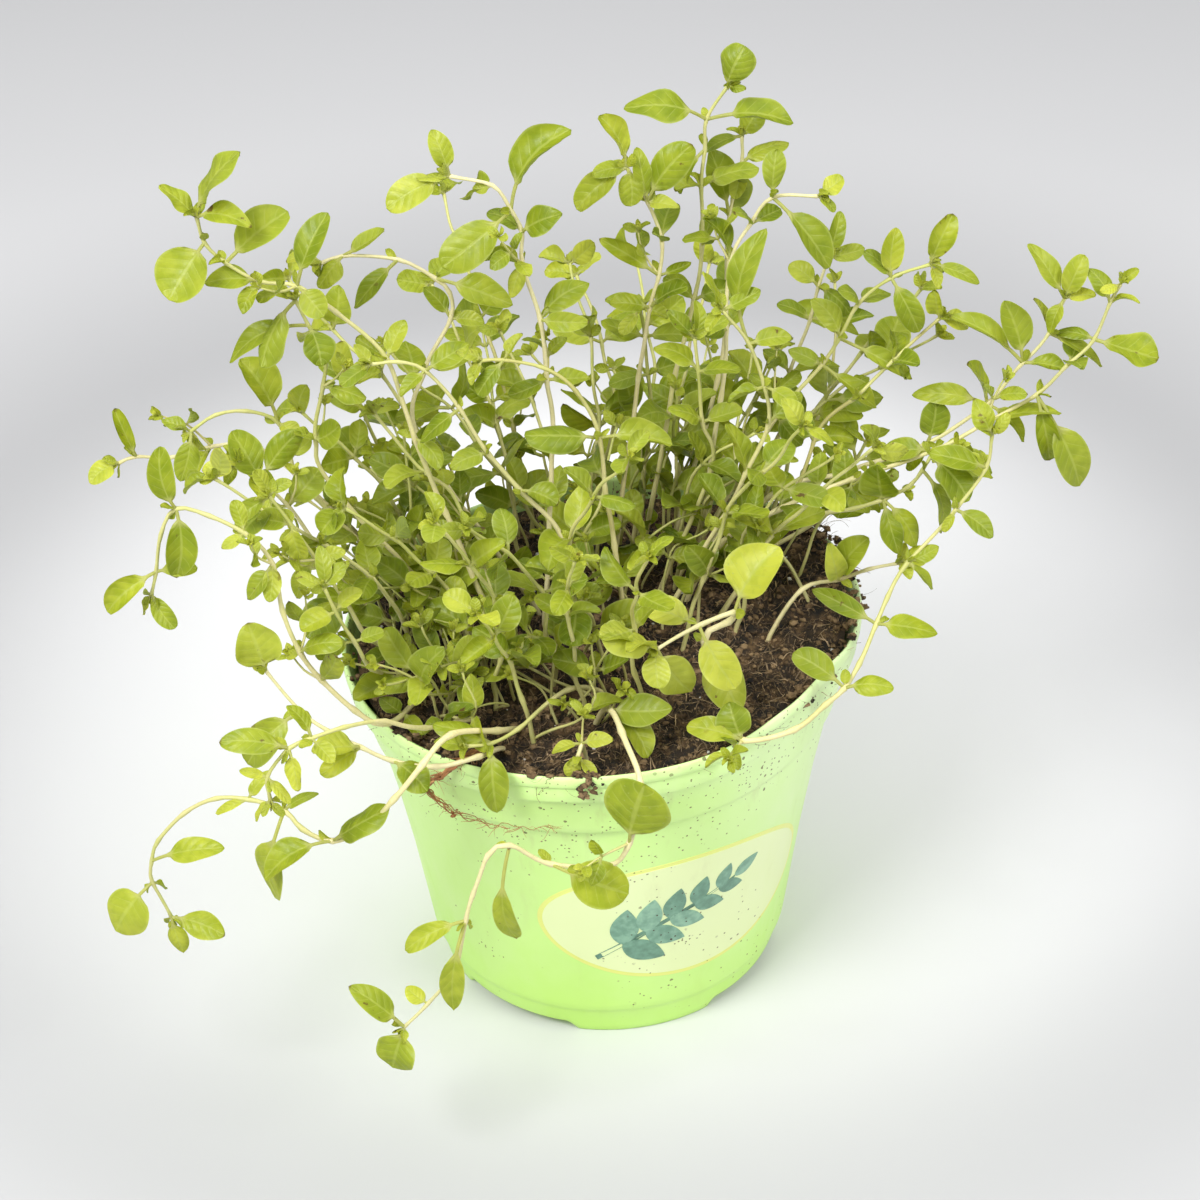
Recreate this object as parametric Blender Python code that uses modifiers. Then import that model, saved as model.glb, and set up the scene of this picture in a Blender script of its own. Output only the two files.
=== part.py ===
"""Marjoram in a thin plastic herb pot: the pot, its peat, a loose root and the leafy sprigs.

Metres, +Z up. The origin is the middle of the flat pad under the pot, and the front faces -Y.
Lengths in the tables are whole millimetres.
"""

import math
import random

import bmesh
import bpy
from mathutils import Matrix, Vector, noise
from mathutils.bvhtree import BVHTree

MM = 0.001
WELD = 5e-8
OBJECT_NAME = "potted_marjoram"

# Pot, in mm
POT_HEIGHT = 100.2
LIP_RADIUS = 65.0
COLLAR_RADIUS = 64.4
COLLAR_BOTTOM = 92.5
STACKING_LINE = 78.5
FOOT_RADIUS = 44.4
GROOVE_HEIGHT = 9.0
FLOOR_UNDERSIDE = 3.0
WALL = 0.8
FOOT_RING_WIDTH = 6.0
PAD_RADIUS = 15.0
RIM_LEAN = 0.055
# The soft rim is pressed inwards a little at one place: where, how wide, how deep and from which height
PRESS_ANGLE = math.radians(-40)
PRESS_WIDTH = 0.33
PRESS_SHARE = 0.05
PRESS_HEIGHT = 72.0
POT_STEPS = 36
FOOT_COUNT = 4
FOOT_TURN = math.radians(11)
ARCH_WIDTH = 32.0
ARCH_RAMP = 2.4
DRAIN_COUNT = 6
DRAIN_RADIUS = 3.0
DRAIN_CIRCLE = 26.0
DRAIN_DEPTH = 3.0
# The outside of the wall between the foot and the collar: (radius, height)
WALL_BENDS = [(51.5, 40), (54.7, 60)]

# Peat, in mm
SOIL_EDGE = 95.0
SOIL_CROWN = 2.0
SOIL_HEAP = 8.0
HEAP_CENTRE = (50, 24)
HEAP_SPREAD = 25.0
SOIL_ROUGHNESS = 0.9
SOIL_GRAIN = 9.0
SOIL_RADIUS = 61.6
SOIL_RINGS = 5
SOIL_STEPS = 28
GAP = 0.3

# Sprigs, in mm
STEM_RADIUS = 0.8
TIP_RADIUS = 0.5
STEM_STEP = 12.0
# The lowest corner of a leaning stem's end stays clear of the peat.
ROOT_LIFT = 0.9
STEM_TRIES = 80
STEM_SHIFT = 0.12
LEAF_THICKNESS = 0.5
LEAF_WIDTH = 0.42
LEAF_ARCH = 0.3
LONG_LEAF = 18.0
CLEARANCE = 0.12
# A leaf starts just past the middle of its stem, and each next one at the same joint a little lower.
LEAF_START = 0.6
LEAF_SPACING = 0.7
LEAF_INSET = 0.25
# Outline of a short and of a long leaf: (place along it, part of its full width)
LEAF_OUTLINES = {
    3: ((0, 0), (0.36, 0.8), (0.76, 0.85), (1, 0)),
    4: ((0, 0), (0.2, 0.16), (0.52, 1), (0.82, 0.75), (1, 0)),
}
LIGHT = Vector((0.0, -0.42, 0.9)).normalized()

# Each row is a leaf joint of the stem, (x, y, z), then the reach of each leaf from that joint,
# (dx, dy, dz) or (dx, dy, dz, width / length). The first row is where the stem leaves the peat.
SPRIGS = {
    "back_tall": [
        (10, 18), (20, 22, 155), (25, 25, 175), (27, 27, 189), (27, 29, 203, (-6, -6, 3), (14, 3, 2)),
        (28, 30, 212, (-7, -4, -9, 0.3)), (28, 30, 220, (-18, -4, 7), (20, -3, 2)),
        (33, 30, 228, (3, -2, 10, 0.75), (4, -3, 1)),
    ],
    "back_tall_twin": [
        (18, 26), (31, 32, 148), (33, 34, 170), (34, 36, 191, (-5, 3, 17), (1, -4, 14)),
        (37, 37, 205, (11, 2, 5), (-2, -5, -7)), (37, 37, 212, (4, 1, 8, 0.6), (-9, -2, -2)),
    ],
    "back_cluster": [
        (2, 10), (11, 14, 160), (14, 16, 178, (9, -4, 8), (-10, -3, 3)),
        (16, 17, 186, (-14, 3, 9, 0.3), (8, 3, 2, 0.3)), (17, 18, 195),
        (14, 18, 205, (-2, 2, 13, 0.3), (11, 1, 14), (7, -4, 1)),
        (9, 18, 214, (-6, 1, 13), (-12, -3, -9), (1, -4, -8, 0.6), (-8, -3, 0)),
    ],
    "back_right_bow": [
        (24, 14), (31, 15, 153), (32, 15, 172), (33, 15, 190, (-7, 2, 11)), (38, 15, 200),
        (43, 14, 207, (1, 2, 11), (13, -4, -17, 0.35)), (53, 12, 208, (6, 1, 4, 0.6), (4, -2, -3)),
    ],
    "high_bow": [
        (-14, 0), (-10, -4, 154), (-11, -6, 172, (-9, -2, -3), (10, 2, 0)),
        (-12, -7, 188, (11, -3, 1, 0.35), (11, 3, 8)), (-15, -8, 203, (-8, -3, 4, 0.55), (-3, -3, -7)),
        (-15, -8, 211), (-17, -9, 217, (14, 3, 18), (-16, -6, -10)), (-21, -10, 224, (-6, 6, -5, 0.75)),
        (-30, -11, 227, (-14, -3, -6), (-3, 2, 10), (-7, -1, 1)),
    ],
    "left_long_bow": [
        (-24, -8), (-36, -12, 140), (-42, -14, 162, (6, -6, -5)), (-47, -15, 184, (4, 4, 8), (-7, 3, 4)),
        (-57, -16, 197), (-65, -17, 204, (7, 4, 16, 0.35), (6, -5, -5, 0.6)),
        (-73, -18, 206, (-4, -4, -6), (-12, -2, 1)), (-80, -18, 211, (13, 5, 11, 0.55)),
        (-84, -18, 216, (-8, -6, -11, 0.75)), (-85, -18, 222, (9, 2, 15, 0.6), (-7, 0, 8), (12, -5, 1)),
    ],
    "left_second_bow": [
        (-16, 8), (-42, 4, 150), (-40, 5, 169, (11, 3, 2)), (-33, 6, 182, (-6, 3, 7), (8, -2, 0)),
        (-33, 6, 189), (-36, 6, 193, (18, -5, -5, 0.36)), (-44, 6, 198, (-11, -4, -10, 0.28)),
        (-57, 6, 199, (10, 4, 4), (-6, -4, -6, 0.6)), (-62, 5, 198, (-8, -1, 2)),
    ],
    "left_third": [
        (-32, -2), (-62, -10, 146), (-65, -12, 161, (7, -4, 6, 0.6), (-4, -2, 4, 0.6)),
        (-62, -13, 176, (10, -3, -2)), (-61, -14, 184),
        (-64, -15, 193, (3, -6, -7, 0.7), (-19, -3, -6, 0.25)), (-66, -16, 200, (-8, -6, -14), (-8, 2, 3)),
    ],
    "left_mid_bow": [
        (-38, 6), (-68, 0, 137), (-73, -1, 150, (5, 4, 3)),
        (-75, -2, 160, (-8, 3, 16, 0.55), (5, -4, -2, 0.6)), (-82, -3, 164), (-89, -4, 164),
        (-95, -5, 160, (-7, 2, 2), (-3, -6, -10), (2, 3, -8, 0.3)),
    ],
    "far_left": [
        (-44, 14), (-72, 6, 139), (-82, 4, 150, (-1, -5, -6, 0.6), (-8, 0, -3)),
        (-92, 3, 151, (-4, -4, -5), (-2, 3, 1)), (-102, 2, 149),
        (-110, 1, 150, (-4, 2, 13, 0.28), (-2, 1, 2)), (-114, 0, 149, (-7, -4, -3, 0.6), (-5, 1, 0)),
    ],
    "left_fall": [
        (-42, -20), (-51, -43, 101), (-58, -48, 109), (-65, -49, 119, (5, -4, 10)),
        (-69, -49, 127, (10, -3, 5), (-4, 1, -2)), (-72, -48, 138),
        (-73, -47, 150, (-1, -5, -7), (-7, -3, -7)), (-79, -46, 158, (-2, 3, 7), (-5, -3, -2)),
        (-86, -46, 163), (-93, -46, 165, (-2, 3, 15, 0.35), (-1, -5, -16)), (-97, -47, 159),
        (-99, -48, 150, (-12, -4, -8), (9, 2, 0)), (-101, -48, 144, (5, -4, -7), (-2, -1, -5)),
    ],
    "rim_low": [
        (-24, -46), (-29, -60, 104), (-38, -66, 106), (-48, -67, 109, (8, -5, -5, 0.6)),
        (-55, -67, 113, (-11, -4, 2, 0.6), (-9, -5, -4)), (-62, -66, 117),
        (-68, -65, 122, (-13, -5, -11), (2, 1, -4, 0.6)), (-75, -64, 133, (-3, 2, 12, 0.8)),
    ],
    "trail_left": [
        (-20, -40), (-25, -52, 105), (-35, -62, 112), (-41, -70, 110), (-48, -73, 103), (-54, -73, 95),
        (-63, -72, 90, (12, -2, 12), (-16, -6, -6)), (-70, -70, 92),
        (-74, -68, 96, (-7, -6, -22, 0.5), (8, 0, 5, 0.2)),
        (-82, -66, 98, (-8, 0, -4, 0.2), (5, 3, 6, 0.3)), (-90, -64, 97), (-98, -63, 92), (-105, -63, 84),
        (-107, -63, 78, (18, -4, 7, 0.28)), (-108, -63, 71, (-10, -5, -11, 0.7)),
        (-105, -63, 60, (13, -4, -3), (2, -2, -10)),
    ],
    "front_hang": [
        (-2, -40), (1, -47, 107, (9, -10, -7, 0.5), (15, -5, 3, 0.45)), (4, -58, 108), (8, -73, 105),
        (5, -76, 90, (4, 0, 18, 0.8)), (0, -77, 84),
        (-13, -79, 87, (18, -3, -7, 0.5)), (-22, -81, 95, (-1, -2, -30, 0.16)), (-27, -82, 93),
        (-31, -83, 82), (-33, -84, 75, (-14, -2, -7, 0.28), (-4, -3, -25, 0.2)), (-36, -85, 61),
        (-43, -86, 51, (-5, 3, 3, 0.55)), (-49, -87, 45, (-11, 0, 14, 0.35), (-4, -3, -11, 0.8)),
    ],
    "far_right": [
        (22, 6), (30, 2, 119), (45, 5, 127), (63, 7, 134, (-4, -4, -9)),
        (83, 9, 140, (-13, 4, -3), (14, -5, -3)), (95, 10, 147, (18, -3, 3, 0.35)),
        (107, 11, 154, (12, -5, -24, 0.3), (4, -5, -17, 0.33)), (114, 11, 162),
        (120, 12, 168, (15, -4, -4, 0.6), (-9, 3, 1, 0.3)), (123, 12, 178, (6, -3, 3, 0.3), (-5, 3, 8)),
        (125, 12, 183, (4, 0, 4), (-5, -3, 0)),
    ],
    "right_rise": [
        (26, 12), (43, 14, 125), (63, 16, 131, (-6, 4, 6)), (82, 16, 138, (2, 3, 11, 0.6), (-5, -3, -6)),
        (96, 16, 149, (-6, 1, 11, 0.6), (-18, 3, 2, 0.25), (9, -4, -9, 0.3)),
        (104, 16, 160, (-17, 4, 13, 0.28), (-6, 3, 16), (10, -3, -1)),
        (110, 16, 168, (-4, 3, 8), (14, -2, -8, 0.25)),
        (113, 16, 177, (-8, 2, 14, 0.3), (4, 1, 11), (-4, -4, -7), (7, -2, 2)),
    ],
    "rim_right_bow": [
        (34, -42), (32, -57, 104, (-3, 4, 8, 0.8), (-13, 2, 3, 0.4)), (44, -54, 104), (52, -46, 105),
        (57, -41, 106, (-12, 4, 8), (11, -3, 3)),
        (61, -34, 108), (66, -24, 112, (14, -4, 1), (-15, 8, 5, 0.25)), (69, -20, 117),
        (74, -17, 125, (7, 0, 4), (6, -3, -6)), (85, -14, 138, (9, -4, -5), (-3, -2, -5, 0.35)),
        (92, -12, 148, (-13, 1, 5)), (93, -12, 157, (-4, 1, 9, 0.5), (4, 0, 6)),
    ],
    "upper_right": [
        (20, 16), (37, 18, 130), (45, 20, 145, (6, -3, -7)), (56, 22, 158, (14, -5, -9, 0.3), (-8, 3, 3)),
        (60, 22, 165, (19, -4, -9, 0.22), (-6, 2, 10)), (64, 22, 174),
        (72, 22, 181, (1, 3, 12), (7, -4, -13, 0.35), (-7, 2, 6)),
        (81, 22, 184, (5, 1, 13), (12, -3, -3, 0.25), (2, -3, -5)),
    ],
    "mid_right": [
        (16, 0), (30, -1, 128), (36, -2, 142, (-4, 2, 13), (10, -3, 1)), (41, -2, 156, (8, 2, 7)),
        (40, -2, 166, (8, -4, -5), (-9, -2, -3)), (36, -3, 178, (1, 4, 27, 0.25), (10, 1, 2)),
        (30, -4, 188, (-5, 2, 9), (9, 1, 4), (-4, -4, -3)),
    ],
    "mid_bow": [
        (6, -8), (4, -8, 126), (2, -9, 143), (1, -10, 158, (-18, -4, 3), (17, -3, 1)), (-4, -12, 172),
        (-11, -13, 179), (-20, -14, 182, (-7, -4, -6), (4, 2, 6)),
        (-25, -14, 182, (-6, -1, 3), (-3, -4, -4)),
    ],
    "mid_left_bow": [
        (-6, -10), (-8, -12, 130), (-18, -13, 146, (9, -4, -2, 0.6)), (-25, -14, 157, (-9, -5, -1)),
        (-31, -15, 170, (-10, -3, -6)), (-38, -16, 181, (10, 3, 5), (-6, -5, -3)), (-44, -17, 184),
        (-50, -18, 184, (-7, -5, -3), (-4, 2, 4)),
    ],
    "front_right": [
        (30, -34), (24, -38, 119, (8, -10, -14, 0.5)), (30, -35, 122), (31, -38, 127, (10, 5, 15, 0.68)),
        (23, -43, 127, (8, -11, -10, 0.45), (-13, 7, 1, 0.45)),
        (13, -52, 127, (-13, -3, 8, 0.58), (-6, -8, 8, 0.4), (0, -8, -5, 0.6), (8, 2, -14, 0.5)),
    ],
    "front_left_cross": [
        (2, -30), (-8, -38, 106), (-20, -50, 104), (-26, -57, 105, (-13, 1, 6), (1, -9, -14)),
        (-31, -60, 107, (-8, -1, 2)),
    ],
    "left_rim_rise": [
        (-46, -8), (-55, -28, 115), (-60, -30, 128, (-9, -4, -8, 0.7), (8, 0, 2)),
        (-65, -32, 141, (-5, -4, -8), (7, 0, 2)), (-70, -33, 151, (-8, 0, 2, 0.7), (2, -4, -7, 0.6)),
        (-74, -34, 160, (-8, -2, -5), (5, 3, 2), (-3, 0, 7)),
    ],
    "front_sprout": [
        (-4, -54), (-5, -58, 105, (7, -2, 3), (-7, -2, -1)), (-6, -60, 103, (-2, -3, -4, 0.7), (4, -3, -4)),
    ],
    "left_wing": [
        (-50, 2), (-62, -8, 117), (-68, -12, 133), (-73, -14, 144, (-9, -3, -2, 0.7), (7, 4, 8, 0.6)),
        (-78, -16, 153, (-5, 3, 12, 0.65), (10, 4, 11, 0.4)),
        (-83, -18, 159, (-8, -2, 0, 0.5), (-3, -3, -4, 0.5), (-3, 2, 4, 0.4)),
    ],
    "left_up_fill": [
        (-26, 14), (-48, 22, 122), (-54, 22, 138, (-11, -4, 4, 0.6), (8, 2, -3, 0.5)),
        (-57, 21, 149, (-7, -3, 7, 0.5), (9, 2, 1, 0.4)),
        (-59, 20, 157, (-8, 3, 5, 0.35), (-2, 3, 11, 0.4), (7, 2, 3, 0.4)),
    ],
    "top_fill": [
        (8, 28), (14, 38, 131), (14, 38, 147, (-10, -3, -1, 0.5), (11, 3, 1, 0.5)),
        (13, 37, 159, (-11, 2, 3, 0.5), (14, -3, 3, 0.4)),
        (12, 36, 167, (-8, 3, 3, 0.45), (8, 3, 3, 0.45), (-5, -4, -5, 0.4), (7, -3, -1, 0.5)),
    ],
    "right_cluster": [
        (28, 24), (46, 32, 130), (49, 33, 149, (-6, 3, 6, 0.4), (12, -2, 4, 0.3)),
        (54, 34, 164, (-8, 2, 4, 0.4), (12, -3, -2, 0.3)),
        (56, 34, 173, (8, -4, -5, 0.55), (-7, 3, 5, 0.5)),
        (58, 34, 181, (3, 3, 11, 0.35), (-5, 2, 9, 0.4), (9, 2, 1, 0.4)),
    ],
    "right_hook": [
        (38, 16), (54, 22, 111), (61, 24, 120, (-5, 3, 8, 0.5), (13, -4, -2, 0.6)),
        (66, 25, 128, (-6, 4, 14, 0.45), (12, 3, -4, 0.35), (-4, -5, -8, 0.6)),
        (68, 25, 133, (6, 2, 3, 0.4), (-5, 1, 4, 0.4)),
    ],
    "left_low_drop": [
        (-30, -34), (-41, -58, 111), (-49, -68, 121), (-57, -76, 126),
        (-64, -80, 126, (5, -4, -4, 0.5), (-5, 3, 7, 0.4)),
        (-69, -82, 125, (-14, -2, 5, 0.35), (2, -5, -8, 0.35)),
        (-74, -84, 119, (-6, 0, 2, 0.3), (5, -3, -5, 0.3)),
        (-74, -85, 113, (-4, -2, -4, 0.35), (3, -2, -3, 0.35)),
    ],
    "left_rim_fill": [
        (-50, -16), (-54, -40, 115), (-57, -44, 126, (-9, -3, -2, 0.55), (7, 2, 1, 0.5)),
        (-60, -46, 136, (-8, -4, -2, 0.65), (6, 3, 4, 0.5)),
        (-62, -47, 143, (-6, 2, 4, 0.45), (5, 3, 5, 0.45), (-1, 4, 9, 0.3)),
    ],
    "centre_tuft": [
        (14, 8), (28, 6, 138), (26, 5, 153, (-8, -3, 6, 0.5), (10, 3, 1, 0.5)),
        (25, 4, 167, (-10, 3, 6, 0.45), (10, -3, 2, 0.5)),
        (24, 4, 176, (-6, 2, 7, 0.4), (8, 3, 4, 0.4), (1, 4, 8, 0.3)),
    ],
    "right_branch": [
        (30, -2), (43, -3, 124), (54, -4, 131), (62, -5, 133),
        (69, -5, 135, (8, -3, -12, 0.35), (4, -6, -12, 0.35), (-2, -2, 12, 0.7)), (75, -5, 139),
        (78, -4, 143, (6, -5, -15, 0.35)), (80, -3, 146, (9, -6, -9, 0.6), (15, -3, -4, 0.4)),
    ],
    "right_twig": [
        (42, -10), (50, -7, 111), (59, -5, 112, (7, -1, 13, 0.45), (-2, -4, 12, 0.4)), (66, -6, 116),
        (73, -8, 119, (8, -2, 4, 0.5), (2, 1, 5, 0.5), (3, -4, -2, 0.6)),
    ],
}

# Inner shoots fill the dome by rule: they stand on a spiral over the peat and lean outwards.
INNER_STEPS = 32
INNER_SEED = 7
INNER_RADIUS = (7.0, 50.0)
INNER_HEIGHT = (42, 66)
INNER_LEAF = (9, 14)
INNER_LEAF_WIDTH = (0.42, 0.62)
INNER_BEND = 0.16
INNER_LEAN = (0.15, 0.6)
MIDDLE_GAIN = 24.0
BACK_GAIN = 0.25
FRONT_STRIP = -25.0
FRONT_LEAN = 0.55
GOLDEN_ANGLE = math.radians(137.5)
SETTLE_SEED = 3
BARE_CORNER = (12, -14)
ROOT_SPACING = 3.5
JOINT_SPACING = 17.0
SPREAD_ANGLE = math.radians(62)

# The loose root over the rim: (degrees round the pot, distance from its axis, height)
ROOT_RADIUS = 0.45
LOOSE_ROOT = [
    (-119, 56, 98.4), (-120, 61, 100.6), (-121, 65, 101.4), (-124, 67.0, 97.5), (-129, 66.8, 92),
    (-130, 65.4, 87.5), (-126, 64.6, 84.5), (-118, 64.4, 83), (-109, 64.6, 84), (-100, 65, 86),
]


def clear_scene():
    for obj in list(bpy.data.objects):
        bpy.data.objects.remove(obj)


def make_collection(name):
    collection = bpy.data.collections.new(name)
    bpy.context.scene.collection.children.link(collection)
    return collection


def material(name, colour, roughness):
    made = bpy.data.materials.new(name)
    made.use_nodes = True
    shader = made.node_tree.nodes["Principled BSDF"]
    shader.inputs["Base Color"].default_value = (*colour, 1)
    shader.inputs["Roughness"].default_value = roughness
    shader.inputs["Metallic"].default_value = 0.0
    return made


def add_mesh(name, bm, collection, surface=None):
    mesh = bpy.data.meshes.new(name)
    bm.to_mesh(mesh)
    bm.free()
    obj = bpy.data.objects.new(name, mesh)
    collection.objects.link(obj)
    if surface:
        mesh.materials.append(surface)
    return obj


def solid_copy(obj):
    """The object's evaluated mesh, with its modifiers worked in and loose caps welded."""
    graph = bpy.context.evaluated_depsgraph_get()
    mesh = bpy.data.meshes.new_from_object(obj.evaluated_get(graph))
    bm = bmesh.new()
    bm.from_mesh(mesh)
    bm.transform(obj.matrix_world)
    bmesh.ops.remove_doubles(bm, verts=bm.verts, dist=WELD)
    bpy.data.meshes.remove(mesh)
    return bm


def bake_in_place(obj, collection, surface):
    name = obj.name
    bm = solid_copy(obj)
    bpy.data.objects.remove(obj)
    return add_mesh(name, bm, collection, surface)


def turned(name, profile, steps, collection):
    """A profile of (radius, height) in mm, turned about Z. Its outer side runs downwards."""
    bm = bmesh.new()
    points = [bm.verts.new((radius * MM, 0, height * MM)) for radius, height in profile]
    for start, end in zip(points, points[1:]):
        bm.edges.new((start, end))
    obj = add_mesh(name, bm, collection)
    screw = obj.modifiers.new("turn", "SCREW")
    screw.steps = screw.render_steps = steps
    screw.use_merge_vertices = True
    screw.merge_threshold = 1e-5
    return obj


def lean(x, height):
    """The soft rim sits a little lower on the left than on the right."""
    return RIM_LEAN * x * max(0.0, height / (POT_HEIGHT * MM)) ** 1.5


def settle_rim(points):
    """Leans the points of the pot or the peat with the rim, and presses them in where the rim is bent."""
    for point in points:
        away = (math.atan2(point.co.y, point.co.x) - PRESS_ANGLE) / PRESS_WIDTH
        high = min(1.0, max(0.0, (point.co.z / MM - PRESS_HEIGHT) / (POT_HEIGHT - PRESS_HEIGHT)))
        keep = 1 - PRESS_SHARE * math.exp(-away * away) * high
        point.co.z += lean(point.co.x, point.co.z)
        point.co.x *= keep
        point.co.y *= keep


def shade_round(obj, degrees=35):
    obj.data.shade_smooth()
    obj.data.set_sharp_from_angle(angle=math.radians(degrees))


# Pot


def pot_profile():
    """(radius, height) from the middle of the inner floor, over the lip, down and under to the axis."""
    inner = [
        (0, FLOOR_UNDERSIDE + WALL), (FOOT_RADIUS - WALL, FLOOR_UNDERSIDE + WALL), (46.1, GROOVE_HEIGHT),
        *[(radius - WALL, height) for radius, height in WALL_BENDS],
        (57.3, STACKING_LINE - 0.4), (58.6, STACKING_LINE + 0.9),
        (61.9, COLLAR_BOTTOM - 0.3), (63.4, COLLAR_BOTTOM + 1), (63.7, 99.2),
    ]
    outer = [
        (64.4, POT_HEIGHT), (LIP_RADIUS, 99.2), (LIP_RADIUS, 97.4), (COLLAR_RADIUS, 96.9),
        (COLLAR_RADIUS - 0.2, COLLAR_BOTTOM), (62.7, COLLAR_BOTTOM - 0.3), (59.5, STACKING_LINE + 0.8),
        (58.2, STACKING_LINE - 0.4), *reversed(WALL_BENDS), (47.3, GROOVE_HEIGHT + 0.7),
        (46.7, GROOVE_HEIGHT), (46.5, GROOVE_HEIGHT - 0.9), (FOOT_RADIUS + 0.4, 0.5), (FOOT_RADIUS, 0),
    ]
    foot = FOOT_RADIUS - FOOT_RING_WIDTH
    pad = [(PAD_RADIUS + 1, FLOOR_UNDERSIDE), (PAD_RADIUS, 0), (0, 0)]
    under = [(foot, 0), (foot - 1, FLOOR_UNDERSIDE)] + pad
    return inner + outer + under


def arch_cutter(cutters):
    """Boxes with sloping ends that lift the foot ring between the feet."""
    bm = bmesh.new()
    length = 2.4 * FOOT_RING_WIDTH
    for turn in range(FOOT_COUNT):
        angle = math.radians(-90 + 180 / FOOT_COUNT) + FOOT_TURN + turn * math.tau / FOOT_COUNT
        place = Matrix.Rotation(angle, 4, "Z") @ Matrix.Translation(((FOOT_RADIUS - 1) * MM, 0, 0))
        size = Matrix.Diagonal((length * MM, ARCH_WIDTH * MM, 2 * FLOOR_UNDERSIDE * MM, 1))
        box = bmesh.ops.create_cube(bm, size=1.0, matrix=place @ size)["verts"]
        edges = {
            edge
            for vert in box
            for edge in vert.link_edges
            if min(end.co.z for end in edge.verts) > 0
            and abs((edge.verts[0].co - edge.verts[1].co).length - length * MM) < MM
        }
        bmesh.ops.bevel(bm, geom=list(edges), offset=ARCH_RAMP * MM, segments=1, affect="EDGES")
    return add_mesh("arch_cutter", bm, cutters)


def drain_cutter(cutters):
    bm = bmesh.new()
    for turn in range(DRAIN_COUNT):
        angle = turn * math.tau / DRAIN_COUNT + FOOT_TURN
        middle = Matrix.Translation((DRAIN_CIRCLE * MM, 0, FLOOR_UNDERSIDE * MM))
        place = Matrix.Rotation(angle, 4, "Z") @ middle
        bmesh.ops.create_cone(
            bm, cap_ends=True, segments=10, radius1=DRAIN_RADIUS * MM, radius2=DRAIN_RADIUS * MM,
            depth=DRAIN_DEPTH * MM, matrix=place,
        )
    return add_mesh("drain_cutter", bm, cutters)


def make_pot(parts, cutters, surface):
    pot = turned("pot", pot_profile(), POT_STEPS, parts)
    for cutter in (arch_cutter(cutters), drain_cutter(cutters)):
        cutter.hide_render = True
        cutter.display_type = "WIRE"
        cut = pot.modifiers.new(cutter.name, "BOOLEAN")
        cut.operation = "DIFFERENCE"
        cut.object = cutter
    pot = bake_in_place(pot, parts, surface)
    settle_rim(pot.data.vertices)
    shade_round(pot)
    return pot


# Peat


def soil_height(x, y):
    """Height in mm of the peat at (x, y) in mm: nearly level, heaped behind on the right."""
    edge = SOIL_EDGE + SOIL_CROWN * (1 - (x * x + y * y) / LIP_RADIUS**2)
    away = math.hypot(x - HEAP_CENTRE[0], y - HEAP_CENTRE[1]) / HEAP_SPREAD
    grain = SOIL_ROUGHNESS * noise.noise(Vector((x, y, 0)) / SOIL_GRAIN)
    return edge + SOIL_HEAP * math.exp(-away * away) + grain


def make_soil(parts, surface):
    top = [(SOIL_RADIUS * ring / SOIL_RINGS, SOIL_EDGE) for ring in range(SOIL_RINGS + 1)]
    sides = [
        (56.8, STACKING_LINE - 0.8), (53.3, 60), (50.1, 40), (45.6, GROOVE_HEIGHT),
        (43.0, FLOOR_UNDERSIDE + WALL + GAP),
    ]
    soil = turned("soil", top + sides + [(0, FLOOR_UNDERSIDE + WALL + GAP)], SOIL_STEPS, parts)
    soil = bake_in_place(soil, parts, surface)
    for vert in soil.data.vertices:
        if vert.co.z > (SOIL_EDGE - 1) * MM:
            vert.co.z = soil_height(vert.co.x / MM, vert.co.y / MM) * MM
    settle_rim(soil.data.vertices)
    shade_round(soil)
    return soil


# Sprigs


def smooth_route(points, step):
    """Points about a step apart on the curve through the given ones, with the joints' indices."""
    route, joints = [], []
    ends = [2 * points[0] - points[1], *points, 2 * points[-1] - points[-2]]
    for before, start, end, after in zip(ends, ends[1:], ends[2:], ends[3:]):
        joints.append(len(route))
        count = max(1, round((end - start).length / step))
        for index in range(count):
            t = index / count
            route.append(
                0.5 * (2 * start + (end - before) * t + (2 * before - 5 * start + 4 * end - after) * t * t
                       + (3 * start - before - 3 * end + after) * t**3)
            )
    joints.append(len(route))
    return route + [points[-1]], joints


def stem_radius(fraction):
    return STEM_RADIUS + (TIP_RADIUS - STEM_RADIUS) * fraction


def stem_solid(name, route, collection):
    """A square stem along the route, thinner towards its tip."""
    curve = bpy.data.curves.new(name, "CURVE")
    curve.dimensions = "3D"
    curve.bevel_depth = STEM_RADIUS * MM
    curve.bevel_resolution = 0
    curve.use_fill_caps = True
    spline = curve.splines.new("POLY")
    spline.points.add(len(route) - 1)
    for index, point in enumerate(route):
        spline.points[index].co = (*(point * MM), 1)
        spline.points[index].radius = stem_radius(index / (len(route) - 1)) / STEM_RADIUS
    obj = bpy.data.objects.new(name, curve)
    collection.objects.link(obj)
    bm = solid_copy(obj)
    bpy.data.objects.remove(obj)
    return bm


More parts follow.
